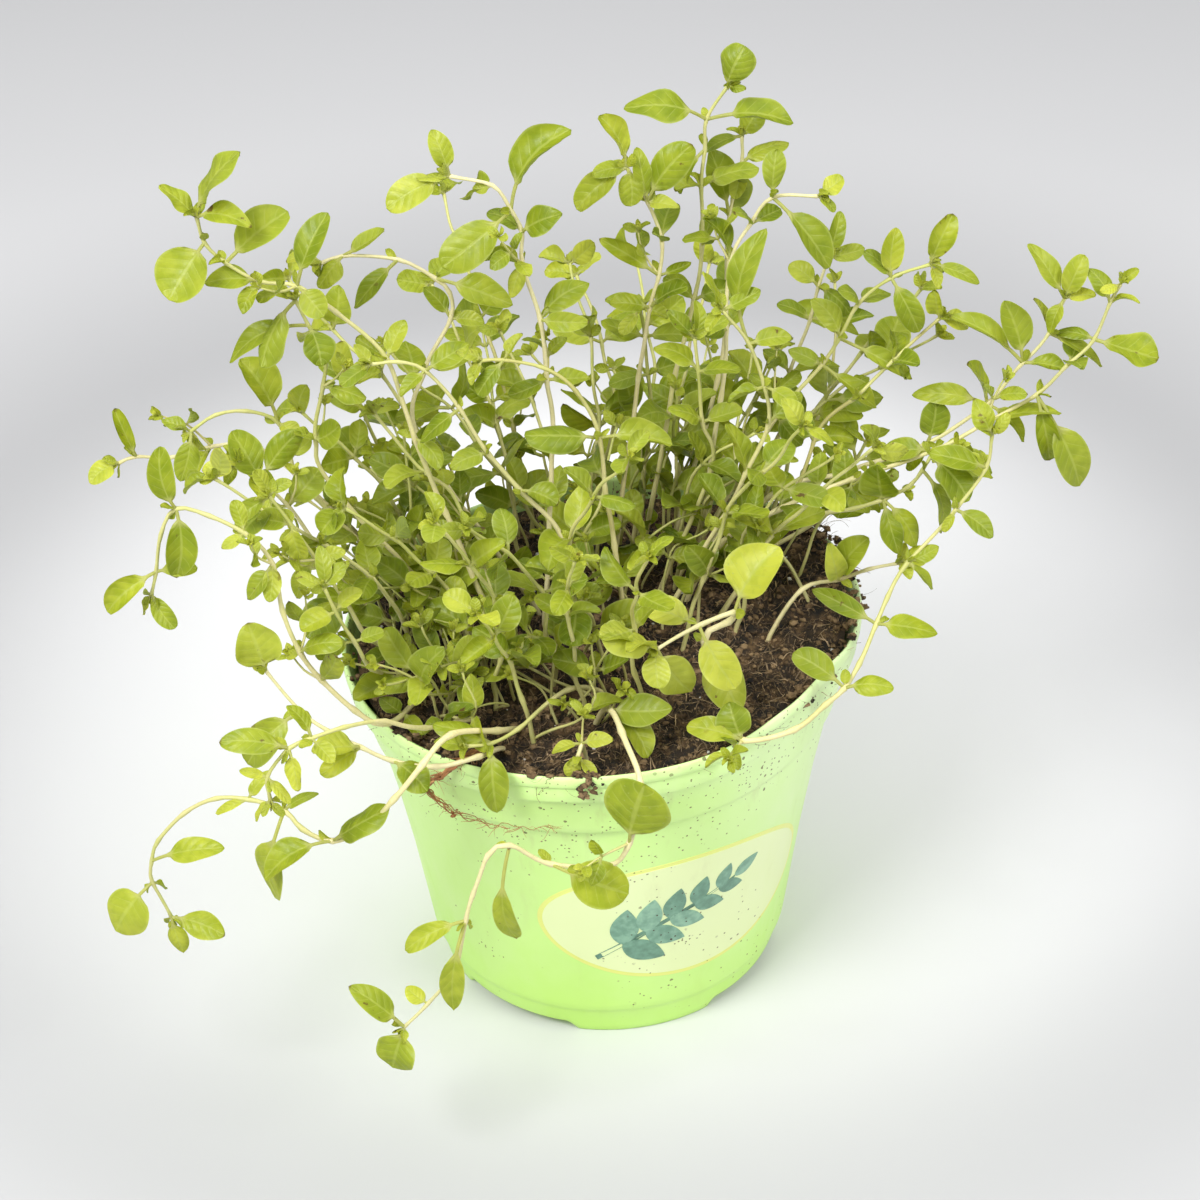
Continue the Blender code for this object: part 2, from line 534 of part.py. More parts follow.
class Leaf:
    """A leaf from its base on a stem to its tip, in mm, with its upper side towards the light."""

    def __init__(self, base, reach, width):
        self.base = base
        self.reach = reach
        self.width = width

    def turned(self, axis, angle, scale):
        return Leaf(self.base, Matrix.Rotation(angle, 3, axis) @ self.reach * scale, self.width * scale)

    def frame(self):
        along = self.reach.normalized()
        up = LIGHT - along * LIGHT.dot(along)
        if up.length < 0.2:
            up = along.orthogonal()
        up.normalize()
        return along, along.cross(up), up

    def solid(self, swell=0.0):
        """A flat spindle: a thin stalk, a wide blade and a point, arched along its length."""
        length = self.reach.length
        rings = 4 if length > LONG_LEAF else 3
        across, up = self.frame()[1:]
        bm = bmesh.new()
        bmesh.ops.create_uvsphere(bm, u_segments=4, v_segments=rings, radius=1.0)
        for vert in bm.verts:
            turn = math.acos(max(-1.0, min(1.0, vert.co.z)))
            place, wide = LEAF_OUTLINES[rings][round(turn / math.pi * rings)]
            flat = vert.co.xy.normalized() if wide else Vector((0, 0))
            centre = self.base + self.reach * place + up * (LEAF_ARCH * length * place * (1 - place))
            half_wide = self.width / 2 * wide + swell
            half_thick = LEAF_THICKNESS / 2 + swell
            vert.co = centre + across * (flat.x * half_wide) + up * (flat.y * half_thick)
        bm.transform(Matrix.Scale(MM, 4))
        bmesh.ops.triangulate(bm, faces=bm.faces)
        return bm


class Space:
    """What is already in place, for keeping new stems and leaves clear of it."""

    def __init__(self):
        self.pieces = []

    def add(self, bm, owner):
        corners = [vert.co for vert in bm.verts]
        low = [min(corner[axis] for corner in corners) for axis in range(3)]
        high = [max(corner[axis] for corner in corners) for axis in range(3)]
        self.pieces.append((low, high, BVHTree.FromBMesh(bm), owner))

    def clear(self, bm, owner=None):
        """True where the solid touches nothing but its owner's own stem."""
        corners = [vert.co for vert in bm.verts]
        low = [min(corner[axis] for corner in corners) for axis in range(3)]
        high = [max(corner[axis] for corner in corners) for axis in range(3)]
        tree = BVHTree.FromBMesh(bm)
        for other_low, other_high, other, other_owner in self.pieces:
            if other_owner == owner and owner is not None:
                continue
            if any(low[axis] > other_high[axis] or high[axis] < other_low[axis] for axis in range(3)):
                continue
            if tree.overlap(other):
                return False
        return True


def peat_contact(soil_tree, x, y):
    hit = soil_tree.ray_cast(Vector((x, y, 2 * POT_HEIGHT)) * MM, Vector((0, 0, -1)))[0]
    return Vector((x, y, hit.z / MM + GAP + ROOT_LIFT))


def hero_sprigs(soil_tree):
    """(name, joints, leaves at each joint) of each sprig in the table."""
    for name, rows in SPRIGS.items():
        joints = [peat_contact(soil_tree, *rows[0])] + [Vector(row[:3]) for row in rows[1:]]
        leaves = [[]] + [[(Vector(leaf[:3]), leaf[3] if len(leaf) > 3 else LEAF_WIDTH) for leaf in row[3:]]
                         for row in rows[1:]]
        yield "sprig_" + name, joints, leaves


def inner_sprigs(soil_tree):
    """Inner shoots: leaf pairs, each turned a quarter from the last, grow up an arching stem."""
    dice = random.Random(INNER_SEED)
    made = 0
    for step in range(1, INNER_STEPS + 1):
        spread = INNER_RADIUS[0] + (INNER_RADIUS[1] - INNER_RADIUS[0]) * math.sqrt(step / INNER_STEPS)
        angle = step * GOLDEN_ANGLE
        x, y = spread * math.cos(angle), spread * math.sin(angle)
        crowded = any(math.dist((x, y), rows[0]) < ROOT_SPACING for rows in SPRIGS.values())
        if crowded or (x > BARE_CORNER[0] and y < BARE_CORNER[1]):
            continue
        made += 1
        outward = Vector((math.cos(angle), math.sin(angle), 0))
        share = spread / INNER_RADIUS[1]
        height = dice.uniform(*INNER_HEIGHT) + MIDDLE_GAIN * (1 - share) + BACK_GAIN * max(y, 0)
        lean_out = height * (INNER_LEAN[0] + INNER_LEAN[1] * share) * (FRONT_LEAN if y < FRONT_STRIP else 1)
        root = peat_contact(soil_tree, x, y)
        sideways = Vector((-outward.y, outward.x, 0)) * dice.uniform(-INNER_BEND, INNER_BEND) * height
        middle = root + Vector((0, 0, 0.55 * height)) + outward * 0.3 * lean_out + sideways
        tip = root + Vector((0, 0, height)) + outward * lean_out + sideways * dice.uniform(-1, 2)
        route, _ = smooth_route([root, middle, tip], JOINT_SPACING)
        quarter = dice.uniform(0, math.pi)
        leaves = []
        for index, joint in enumerate(route):
            pair = []
            if index > 1:
                along = (joint - route[index - 1]).normalized()
                side = along.orthogonal().normalized()
                side.rotate(Matrix.Rotation(quarter + index * math.pi / 2, 3, along))
                length = dice.uniform(*INNER_LEAF) * (0.75 if index == len(route) - 1 else 1)
                for sign in (1, -1):
                    reach = (along * math.cos(SPREAD_ANGLE) + side * (sign * math.sin(SPREAD_ANGLE))) * length
                    pair.append((reach, dice.uniform(*INNER_LEAF_WIDTH)))
            leaves.append(pair)
        yield f"sprig_inner_{made:02d}", route, leaves


def settle_stem(name, joints, space, dice):
    """A stem along the joints, moved by as little as keeps it clear. Its joints move with it."""
    for attempt in range(STEM_TRIES):
        reach = STEM_SHIFT * attempt
        moved = [joints[0]] + [
            joint + Vector([dice.uniform(-reach, reach) for _ in range(3)]) for joint in joints[1:]
        ]
        route, indices = smooth_route(moved, STEM_STEP)
        bm = stem_solid(name, route, bpy.context.scene.collection)
        if space.clear(bm):
            return bm, route, indices
        bm.free()
    raise RuntimeError(name + " finds no clear way")


TURNS = [(0, 1.0)] + [
    (math.radians(sign * degrees), scale)
    for degrees, scale in ((12, 1.0), (24, 1.0), (36, 0.95), (50, 0.9), (65, 0.85), (80, 0.8), (100, 0.75))
    for sign in (1, -1)
]


def settle_leaf(leaf, stem_way, name, space):
    """The leaf, turned about the light or its stem or a little shrunk until nothing is in its way."""
    for angle, scale in TURNS:
        for axis in (LIGHT, stem_way, leaf.frame()[1]):
            tried = leaf.turned(axis, angle, scale)
            bm = tried.solid(CLEARANCE)
            free = space.clear(bm, name)
            bm.free()
            if free:
                return tried
    return None


def grow(soil_tree, space, parts, surface):
    """Every stem first, then the leaves, then each sprig joined into one solid."""
    dice = random.Random(SETTLE_SEED)
    stems = []
    for name, joints, leaves in [*hero_sprigs(soil_tree), *inner_sprigs(soil_tree)]:
        bm, route, indices = settle_stem(name, joints, space, dice)
        space.add(bm, name)
        stems.append((name, bm, route, indices, leaves))
    for name, bm, route, indices, leaves in stems:
        blades = []
        for index, joint_leaves in zip(indices, leaves):
            here = route[index]
            way = (here - route[index - 1]).normalized()
            for order, (reach, width) in enumerate(joint_leaves):
                side = (reach - way * reach.dot(way)).normalized()
                base = here - way * (LEAF_START + LEAF_SPACING * order) - side * LEAF_INSET
                leaf = settle_leaf(Leaf(base, reach, reach.length * width), way, name, space)
                if leaf:
                    blades.append(leaf)
                    solid = leaf.solid()
                    space.add(solid, name + "_leaf")
                    solid.free()
        join_sprig(name, bm, blades, parts, surface)


def join_sprig(name, stem, blades, parts, surface):
    """The stem with its leaves united to it one after another."""
    sprig = add_mesh(name, stem, parts, surface)
    helpers = []
    for number, leaf in enumerate(blades):
        helper = add_mesh(f"{name}_leaf_{number}", leaf.solid(), parts)
        union = sprig.modifiers.new(helper.name, "BOOLEAN")
        union.operation = "UNION"
        union.solver = "MANIFOLD"
        union.object = helper
        helpers.append(helper)
    sprig = bake_in_place(sprig, parts, surface)
    for helper in helpers:
        bpy.data.objects.remove(helper)
    shade_round(sprig, 50)


def make_loose_root(parts, surface):
    points = []
    for degrees, distance, height in LOOSE_ROOT:
        angle = math.radians(degrees)
        x = distance * math.cos(angle)
        points.append(Vector((x, distance * math.sin(angle), height + lean(x, height * MM))))
    route, _ = smooth_route(points, 3.0)
    curve = bpy.data.curves.new("loose_root", "CURVE")
    curve.dimensions = "3D"
    curve.bevel_depth = ROOT_RADIUS * MM
    curve.bevel_resolution = 0
    curve.use_fill_caps = True
    spline = curve.splines.new("POLY")
    spline.points.add(len(route) - 1)
    for index, point in enumerate(route):
        spline.points[index].co = (*(point * MM), 1)
    root = bpy.data.objects.new("loose_root", curve)
    parts.objects.link(root)
    return bake_in_place(root, parts, surface)


def main():
    clear_scene()
    parts = make_collection(OBJECT_NAME)
    cutters = make_collection("cutters")
    pot = make_pot(parts, cutters, material("green_plastic", (0.42, 0.80, 0.20), 0.42))
    soil = make_soil(parts, material("peat", (0.045, 0.026, 0.016), 0.95))
    loose_root = make_loose_root(parts, material("dry_root", (0.20, 0.10, 0.05), 0.85))
    space = Space()
    for obj in (pot, soil, loose_root):
        bm = bmesh.new()
        bm.from_mesh(obj.data)
        space.add(bm, obj.name)
        if obj is soil:
            soil_tree = BVHTree.FromBMesh(bm)
        bm.free()
    grow(soil_tree, space, parts, material("leaf_green", (0.22, 0.40, 0.05), 0.5))


main()
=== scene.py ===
"""The looks of the potted marjoram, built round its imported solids.

Every leaf is a thin closed blade, every stem a tapering tube, and they grow from the same joints as the
solids that they stand for. Lengths in the tables and functions are millimetres. The front faces -Y.
"""

import math
import random

import bmesh
import bpy
import numpy as np
from mathutils import Matrix, Vector, noise


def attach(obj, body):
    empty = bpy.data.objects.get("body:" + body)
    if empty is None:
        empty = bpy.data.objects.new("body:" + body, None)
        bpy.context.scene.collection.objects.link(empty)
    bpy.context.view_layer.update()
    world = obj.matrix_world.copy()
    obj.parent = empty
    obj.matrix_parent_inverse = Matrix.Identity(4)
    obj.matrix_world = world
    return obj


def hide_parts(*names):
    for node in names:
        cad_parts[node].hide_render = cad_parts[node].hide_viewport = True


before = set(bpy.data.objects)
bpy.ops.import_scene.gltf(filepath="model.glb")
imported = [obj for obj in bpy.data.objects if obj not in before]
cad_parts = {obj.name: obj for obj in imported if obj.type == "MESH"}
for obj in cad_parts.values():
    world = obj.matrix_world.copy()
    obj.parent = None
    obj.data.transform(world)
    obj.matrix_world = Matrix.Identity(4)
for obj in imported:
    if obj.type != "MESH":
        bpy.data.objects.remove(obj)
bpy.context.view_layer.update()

MM = 0.001
SHARP_ANGLE = math.radians(75)
POT_SHARP_ANGLE = math.radians(50)

# Seeds of the random draws. Vector noise would differ from run to run without one.
NOISE_SEED = 3
CRUMB_SEED = 21
PERLITE_SEED = 5
FIBRE_SEED = 8
LOOSE_ROOT_SEED = 31
SPRIG_SEED = 11
INNER_SEED = 7
SHOOT_SEED = 77
LOW_SHOOT_SEED = 404

# Pot, in mm
POT_HEIGHT = 100.2
LIP_RADIUS = 65.0
COLLAR_RADIUS = 64.4
COLLAR_BOTTOM = 92.5
STACKING_LINE = 78.5
FOOT_RADIUS = 44.4
FOOT_RING_WIDTH = 6.0
GROOVE_HEIGHT = 9.0
FLOOR_UNDERSIDE = 3.0
WALL = 0.8
PAD_RADIUS = 15.0
RIM_LEAN = 0.055
PRESS_ANGLE = math.radians(-40)
PRESS_WIDTH = 0.33
PRESS_SHARE = 0.05
PRESS_HEIGHT = 72.0
POT_STEPS = 288
PROFILE_STEP = 2.0
# The outside of the wall from the groove to the stacking line: heights, and the radius at each
WALL_HEIGHTS = (GROOVE_HEIGHT + 1.2, 40, 60, STACKING_LINE - 0.9)
WALL_RADII = (47.5, 51.5, 54.7, 58.1)
# Small bends of the soft wall: a dent and a crease at the left, and two waves in the rim at the right
DENT_ANGLE = math.radians(-117)
CREASE_ANGLE = math.radians(-110)
WAVE_ANGLES = (math.radians(-27), math.radians(-41))
FOOT_COUNT = 4
FOOT_TURN = math.radians(11)
ARCH_WIDTH = 32.0
ARCH_RAMP = 4.0
DRAIN_COUNT = 6
DRAIN_RADIUS = 3.0
DRAIN_CIRCLE = 26.0
DRAIN_SIDES = 24

# Printed oval on the pot: its middle as an angle and a height, its half sizes along and up the wall
LABEL_ANGLE = math.radians(-66.5)
LABEL_HEIGHT = 42.0
LABEL_RADIUS = 52.0
LABEL_HALF = (39.5, 21.4)
LABEL_TILT = math.radians(-4)
LABEL_BORDER = 1.3
LABEL_RINGS = 14
PRINT_THICKNESS = 0.08
PRINT_DEPTH = -0.15

# The printed twig on it: its foot, direction, length and bend, and its leaf pairs from the foot up
TWIG_START = (-25.0, -11.0)
TWIG_TURN = math.radians(27)
TWIG_LENGTH = 41.0
TWIG_BEND = 2.0
TWIG_PAIRS = 5
TWIG_LEAF = 13.0
TWIG_TIP_LEAF = (8.0, 4.4)
TWIG_TONES = (0.35, 0.6, 0.8, 0.45)

# Peat, in mm
SOIL_EDGE = 95.0
SOIL_CROWN = 2.0
SOIL_HEAP = 8.0
HEAP_CENTRE = (50, 24)
HEAP_SPREAD = 25.0
SOIL_RADIUS = 61.4
SOIL_RINGS = 110
SOIL_STEPS = 330
# Its clods, crumbs and grains: (size, where in the noise, height)
SOIL_RELIEF = ((9.0, (0, 0, 0), 1.7), (3.4, (7, 3, 1), 1.5), (1.4, (2, 9, 4), 0.8))
GAP = 0.3
CRUMB_COUNT = 6500
FIBRE_COUNT = 6500
FREE_FIBRE_COUNT = 90
PERLITE_COUNT = 46
# The least size, and what the largest adds to it
CRUMB_SIZE = (0.2, 0.75)
FIBRE_RADIUS = (0.05, 0.2)
FIBRE_LENGTH = (0.9, 4.8)
# Sizes between the least and the most
RIM_CRUMB_SIZE = (0.3, 0.95)
PERLITE_SIZE = (0.22, 0.62)
FINE_RADIUS = (0.05, 0.1)
FREE_FIBRE_LENGTH = (4, 12)
# Crumbs further out than this lie on the rim.
RIM_START = 62.5

# Crumbs that cling to the rim: (degrees round the pot, spread in degrees, how many, how far out)
RIM_CRUMBS = [
    (-94, 1.6, 70, 66.4), (22, 16, 260, 66.2), (-30, 9, 60, 64.5), (-128, 10, 60, 64.8), (110, 60, 90, 65),
]

# Sprigs, in mm
TIP_RADIUS = 0.38
# Stems up to this radius grow in the shade of the dome.
INNER_STEM_RADIUS = 0.62
# Where on the tint ramp they start: they are greener and darker from the foot up, partly their own colour
# and partly painted shade of the dome.
INNER_STEM_SHADED_GREEN = 0.5
STEM_FOOT = 6.0
STEM_STEP = 2.2
STEM_SIDES = 8
SHOOT_SIDES = 6
# How far a stem and an inner stem wander, and over what length
STEM_WANDER = 0.5
INNER_WANDER = 1.9
WANDER_LENGTH = 13
JOINT_SWELLING = 0.35
LEAF_WIDTH = 0.42
HERO_WIDTH = 1.1
# How leaves differ: (least, most) of the stalk's share, the fullness of the blade at its foot and at its
# tip, its arch, its droop, the waves of its edge, its sideways bow, and the number of its side veins
STALK = (0.12, 0.22)
SHOULDER = (0.48, 0.68)
BLUNTNESS = (0.46, 0.78)
ARCH = (0.1, 0.6)
DROOP = (-0.08, 0.2)
WAVE = (0.03, 0.22)
BOW = (-0.07, 0.07)
VEINS = (4.5, 6)
# How far leaves and side shoots turn at random where nothing else is said
USUAL_SWAY = 0.55
SIDE_SHOOT_CHANCE = 0.3
LONG_LEAF = 9
AXIL_LEAF = 4.8
AXIL_AGE = 0.25
# The leaf pairs of a growing tip: how far each opens, in radians, and its share of the tip's size
TIP_PAIRS = ((0.95, 1), (0.6, 0.7), (0.3, 0.45))
TIP_SIZE = 4.2
SIDE_SHOOT_RADII = (0.36, 0.22)
# Steps along the stem between the leaf pairs below its first joint
LOW_LEAF_SPACING = 9
LIGHT = Vector((0.0, -0.42, 0.9)).normalized()
HERO_GRID = (20, 8)
INNER_GRID = (13, 6)
SMALL_GRID = (8, 4)

# Each row is a leaf joint of the stem, (x, y, z), then the reach of each leaf from that joint,
# (dx, dy, dz) or (dx, dy, dz, width / length). The first row is where the stem leaves the peat.
SPRIGS = {
    "back_tall": [
        (10, 18), (20, 22, 155), (25, 25, 175), (27, 27, 189), (27, 29, 203, (-6, -6, 3), (14, 3, 2)),
        (28, 30, 212, (-7, -4, -9, 0.3)), (28, 30, 220, (-18, -4, 7), (20, -3, 2)),
        (33, 30, 228, (3, -2, 10, 0.75), (4, -3, 1)),
    ],
    "back_tall_twin": [
        (18, 26), (31, 32, 148), (33, 34, 170), (34, 36, 191, (-5, 3, 17), (1, -4, 14)),
        (37, 37, 205, (11, 2, 5), (-2, -5, -7)), (37, 37, 212, (4, 1, 8, 0.6), (-9, -2, -2)),
    ],
    "back_cluster": [
        (2, 10), (11, 14, 160), (14, 16, 178, (9, -4, 8), (-10, -3, 3)),
        (16, 17, 186, (-14, 3, 9, 0.3), (8, 3, 2, 0.3)), (17, 18, 195),
        (14, 18, 205, (-2, 2, 13, 0.3), (11, 1, 14), (7, -4, 1)),
        (9, 18, 214, (-6, 1, 13), (-12, -3, -9), (1, -4, -8, 0.6), (-8, -3, 0)),
    ],
    "back_right_bow": [
        (24, 14), (31, 15, 153), (32, 15, 172), (33, 15, 190, (-7, 2, 11)), (38, 15, 200),
        (43, 14, 207, (1, 2, 11), (13, -4, -17, 0.35)), (53, 12, 208, (6, 1, 4, 0.6), (4, -2, -3)),
    ],
    "high_bow": [
        (-14, 0), (-10, -4, 154), (-11, -6, 172, (-9, -2, -3), (10, 2, 0)),
        (-12, -7, 188, (11, -3, 1, 0.35), (11, 3, 8)), (-15, -8, 203, (-8, -3, 4, 0.55), (-3, -3, -7)),
        (-15, -8, 211), (-17, -9, 217, (14, 3, 18), (-16, -6, -10)), (-21, -10, 224, (-6, 6, -5, 0.75)),
        (-30, -11, 227, (-14, -3, -6), (-3, 2, 10), (-7, -1, 1)),
    ],
    "left_long_bow": [
        (-24, -8), (-36, -12, 140), (-42, -14, 162, (6, -6, -5)), (-47, -15, 184, (4, 4, 8), (-7, 3, 4)),
        (-57, -16, 197), (-65, -17, 204, (7, 4, 16, 0.35), (6, -5, -5, 0.6)),
        (-73, -18, 206, (-4, -4, -6), (-12, -2, 1)), (-80, -18, 211, (13, 5, 11, 0.55)),
        (-84, -18, 216, (-8, -6, -11, 0.75)), (-85, -18, 222, (9, 2, 15, 0.6), (-7, 0, 8), (12, -5, 1)),
    ],
    "left_second_bow": [
        (-16, 8), (-42, 4, 150), (-40, 5, 169, (11, 3, 2)), (-33, 6, 182, (-6, 3, 7), (8, -2, 0)),
        (-33, 6, 189), (-36, 6, 193, (18, -5, -5, 0.36)), (-44, 6, 198, (-11, -4, -10, 0.28)),
        (-57, 6, 199, (10, 4, 4), (-6, -4, -6, 0.6)), (-62, 5, 198, (-8, -1, 2)),
    ],
    "left_third": [
        (-32, -2), (-62, -10, 146), (-65, -12, 161, (7, -4, 6, 0.6), (-4, -2, 4, 0.6)),
        (-62, -13, 176, (10, -3, -2)), (-61, -14, 184),
        (-64, -15, 193, (3, -6, -7, 0.7), (-19, -3, -6, 0.25)), (-66, -16, 200, (-8, -6, -14), (-8, 2, 3)),
    ],
    "left_mid_bow": [
        (-38, 6), (-68, 0, 137), (-73, -1, 150, (5, 4, 3)),
        (-75, -2, 160, (-8, 3, 16, 0.55), (5, -4, -2, 0.6)), (-82, -3, 164), (-89, -4, 164),
        (-95, -5, 160, (-7, 2, 2), (-3, -6, -10), (2, 3, -8, 0.3)),
    ],
    "far_left": [
        (-44, 14), (-72, 6, 139), (-82, 4, 150, (-1, -5, -6, 0.6), (-8, 0, -3)),
        (-92, 3, 151, (-4, -4, -5), (-2, 3, 1)), (-102, 2, 149),
        (-110, 1, 150, (-4, 2, 13, 0.28), (-2, 1, 2)), (-114, 0, 149, (-7, -4, -3, 0.6), (-5, 1, 0)),
    ],
    "left_fall": [
        (-42, -20), (-51, -43, 101), (-58, -48, 109), (-65, -49, 119, (5, -4, 10)),
        (-69, -49, 127, (10, -3, 5), (-4, 1, -2)), (-72, -48, 138),
        (-73, -47, 150, (-1, -5, -7), (-7, -3, -7)), (-79, -46, 158, (-2, 3, 7), (-5, -3, -2)),
        (-86, -46, 163), (-93, -46, 165, (-2, 3, 15, 0.35), (-1, -5, -16)), (-97, -47, 159),
        (-99, -48, 150, (-12, -4, -8), (9, 2, 0)), (-101, -48, 144, (5, -4, -7), (-2, -1, -5)),
    ],
    "rim_low": [
        (-24, -46), (-29, -60, 104), (-38, -66, 106), (-48, -67, 109, (8, -5, -5, 0.6)),
        (-55, -67, 113, (-11, -4, 2, 0.6), (-9, -5, -4)), (-62, -66, 117),
        (-68, -65, 122, (-13, -5, -11), (2, 1, -4, 0.6)), (-75, -64, 133, (-3, 2, 12, 0.8)),
    ],
    "trail_left": [
        (-20, -40), (-25, -52, 105), (-35, -62, 112), (-41, -70, 110), (-48, -73, 103), (-54, -73, 95),
        (-63, -72, 90, (12, -2, 12), (-16, -6, -6)), (-70, -70, 92),
        (-74, -68, 96, (-7, -6, -22, 0.5), (8, 0, 5, 0.2)),
        (-82, -66, 98, (-8, 0, -4, 0.2), (5, 3, 6, 0.3)), (-90, -64, 97), (-98, -63, 92), (-105, -63, 84),
        (-107, -63, 78, (18, -4, 7, 0.28)), (-108, -63, 71, (-10, -5, -11, 0.7)),
        (-105, -63, 60, (13, -4, -3), (2, -2, -10)),
    ],
    "front_hang": [
        (-2, -40), (1, -47, 107, (9, -10, -7, 0.5), (15, -5, 3, 0.45)), (4, -58, 108), (8, -73, 105),
        (5, -76, 90, (4, 0, 18, 0.8)), (0, -77, 84),
        (-13, -79, 87, (18, -3, -7, 0.5)), (-22, -81, 95, (-1, -2, -30, 0.16)), (-27, -82, 93),
        (-31, -83, 82), (-33, -84, 75, (-14, -2, -7, 0.28), (-4, -3, -25, 0.2)), (-36, -85, 61),
        (-43, -86, 51, (-5, 3, 3, 0.55)), (-49, -87, 45, (-11, 0, 14, 0.35), (-4, -3, -11, 0.8)),
    ],
    "far_right": [
        (22, 6), (30, 2, 119), (45, 5, 127), (63, 7, 134, (-4, -4, -9)),
        (83, 9, 140, (-13, 4, -3), (14, -5, -3)), (95, 10, 147, (18, -3, 3, 0.35)),
        (107, 11, 154, (12, -5, -24, 0.3), (4, -5, -17, 0.33)), (114, 11, 162),
        (120, 12, 168, (15, -4, -4, 0.6), (-9, 3, 1, 0.3)), (123, 12, 178, (6, -3, 3, 0.3), (-5, 3, 8)),
        (125, 12, 183, (4, 0, 4), (-5, -3, 0)),
    ],
    "right_rise": [
        (26, 12), (43, 14, 125), (63, 16, 131, (-6, 4, 6)), (82, 16, 138, (2, 3, 11, 0.6), (-5, -3, -6)),
        (96, 16, 149, (-6, 1, 11, 0.6), (-18, 3, 2, 0.25), (9, -4, -9, 0.3)),
        (104, 16, 160, (-17, 4, 13, 0.28), (-6, 3, 16), (10, -3, -1)),
        (110, 16, 168, (-4, 3, 8), (14, -2, -8, 0.25)),
        (113, 16, 177, (-8, 2, 14, 0.3), (4, 1, 11), (-4, -4, -7), (7, -2, 2)),
    ],
    "rim_right_bow": [
        (34, -42), (32, -57, 104, (-3, 4, 8, 0.8), (-13, 2, 3, 0.4)), (44, -54, 104), (52, -46, 105),
        (57, -41, 106, (-12, 4, 8), (11, -3, 3)),
        (61, -34, 108), (66, -24, 112, (14, -4, 1), (-15, 8, 5, 0.25)), (69, -20, 117),
        (74, -17, 125, (7, 0, 4), (6, -3, -6)), (85, -14, 138, (9, -4, -5), (-3, -2, -5, 0.35)),
        (92, -12, 148, (-13, 1, 5)), (93, -12, 157, (-4, 1, 9, 0.5), (4, 0, 6)),
    ],
    "upper_right": [
        (20, 16), (37, 18, 130), (45, 20, 145, (6, -3, -7)), (56, 22, 158, (14, -5, -9, 0.3), (-8, 3, 3)),
        (60, 22, 165, (19, -4, -9, 0.22), (-6, 2, 10)), (64, 22, 174),
        (72, 22, 181, (1, 3, 12), (7, -4, -13, 0.35), (-7, 2, 6)),
        (81, 22, 184, (5, 1, 13), (12, -3, -3, 0.25), (2, -3, -5)),
    ],
    "mid_right": [
        (16, 0), (30, -1, 128), (36, -2, 142, (-4, 2, 13), (10, -3, 1)), (41, -2, 156, (8, 2, 7)),
        (40, -2, 166, (8, -4, -5), (-9, -2, -3)), (36, -3, 178, (1, 4, 27, 0.25), (10, 1, 2)),
        (30, -4, 188, (-5, 2, 9), (9, 1, 4), (-4, -4, -3)),
    ],
    "mid_bow": [
        (6, -8), (4, -8, 126), (2, -9, 143), (1, -10, 158, (-18, -4, 3), (17, -3, 1)), (-4, -12, 172),
        (-11, -13, 179), (-20, -14, 182, (-7, -4, -6), (4, 2, 6)),
        (-25, -14, 182, (-6, -1, 3), (-3, -4, -4)),
    ],
    "mid_left_bow": [
        (-6, -10), (-8, -12, 130), (-18, -13, 146, (9, -4, -2, 0.6)), (-25, -14, 157, (-9, -5, -1)),
        (-31, -15, 170, (-10, -3, -6)), (-38, -16, 181, (10, 3, 5), (-6, -5, -3)), (-44, -17, 184),
        (-50, -18, 184, (-7, -5, -3), (-4, 2, 4)),
    ],
    "front_right": [
        (30, -34), (24, -38, 119, (8, -10, -14, 0.5)), (30, -35, 122), (31, -38, 127, (10, 5, 15, 0.68)),
        (23, -43, 127, (8, -11, -10, 0.45), (-13, 7, 1, 0.45)),
        (13, -52, 127, (-13, -3, 8, 0.58), (-6, -8, 8, 0.4), (0, -8, -5, 0.6), (8, 2, -14, 0.5)),
    ],
    "front_left_cross": [
        (2, -30), (-8, -38, 106), (-20, -50, 104), (-26, -57, 105, (-13, 1, 6), (1, -9, -14)),
        (-31, -60, 107, (-8, -1, 2)),
    ],
    "left_rim_rise": [
        (-46, -8), (-55, -28, 115), (-60, -30, 128, (-9, -4, -8, 0.7), (8, 0, 2)),
        (-65, -32, 141, (-5, -4, -8), (7, 0, 2)), (-70, -33, 151, (-8, 0, 2, 0.7), (2, -4, -7, 0.6)),
        (-74, -34, 160, (-8, -2, -5), (5, 3, 2), (-3, 0, 7)),
    ],
    "front_sprout": [
        (-4, -54), (-5, -58, 105, (7, -2, 3), (-7, -2, -1)), (-6, -60, 103, (-2, -3, -4, 0.7), (4, -3, -4)),
    ],
    "left_wing": [
        (-50, 2), (-62, -8, 117), (-68, -12, 133), (-73, -14, 144, (-9, -3, -2, 0.7), (7, 4, 8, 0.6)),
        (-78, -16, 153, (-5, 3, 12, 0.65), (10, 4, 11, 0.4)),
        (-83, -18, 159, (-8, -2, 0, 0.5), (-3, -3, -4, 0.5), (-3, 2, 4, 0.4)),
    ],
    "left_up_fill": [
        (-26, 14), (-48, 22, 122), (-54, 22, 138, (-11, -4, 4, 0.6), (8, 2, -3, 0.5)),
        (-57, 21, 149, (-7, -3, 7, 0.5), (9, 2, 1, 0.4)),
        (-59, 20, 157, (-8, 3, 5, 0.35), (-2, 3, 11, 0.4), (7, 2, 3, 0.4)),
    ],
    "top_fill": [
        (8, 28), (14, 38, 131), (14, 38, 147, (-10, -3, -1, 0.5), (11, 3, 1, 0.5)),
        (13, 37, 159, (-11, 2, 3, 0.5), (14, -3, 3, 0.4)),
        (12, 36, 167, (-8, 3, 3, 0.45), (8, 3, 3, 0.45), (-5, -4, -5, 0.4), (7, -3, -1, 0.5)),
    ],
    "right_cluster": [
        (28, 24), (46, 32, 130), (49, 33, 149, (-6, 3, 6, 0.4), (12, -2, 4, 0.3)),
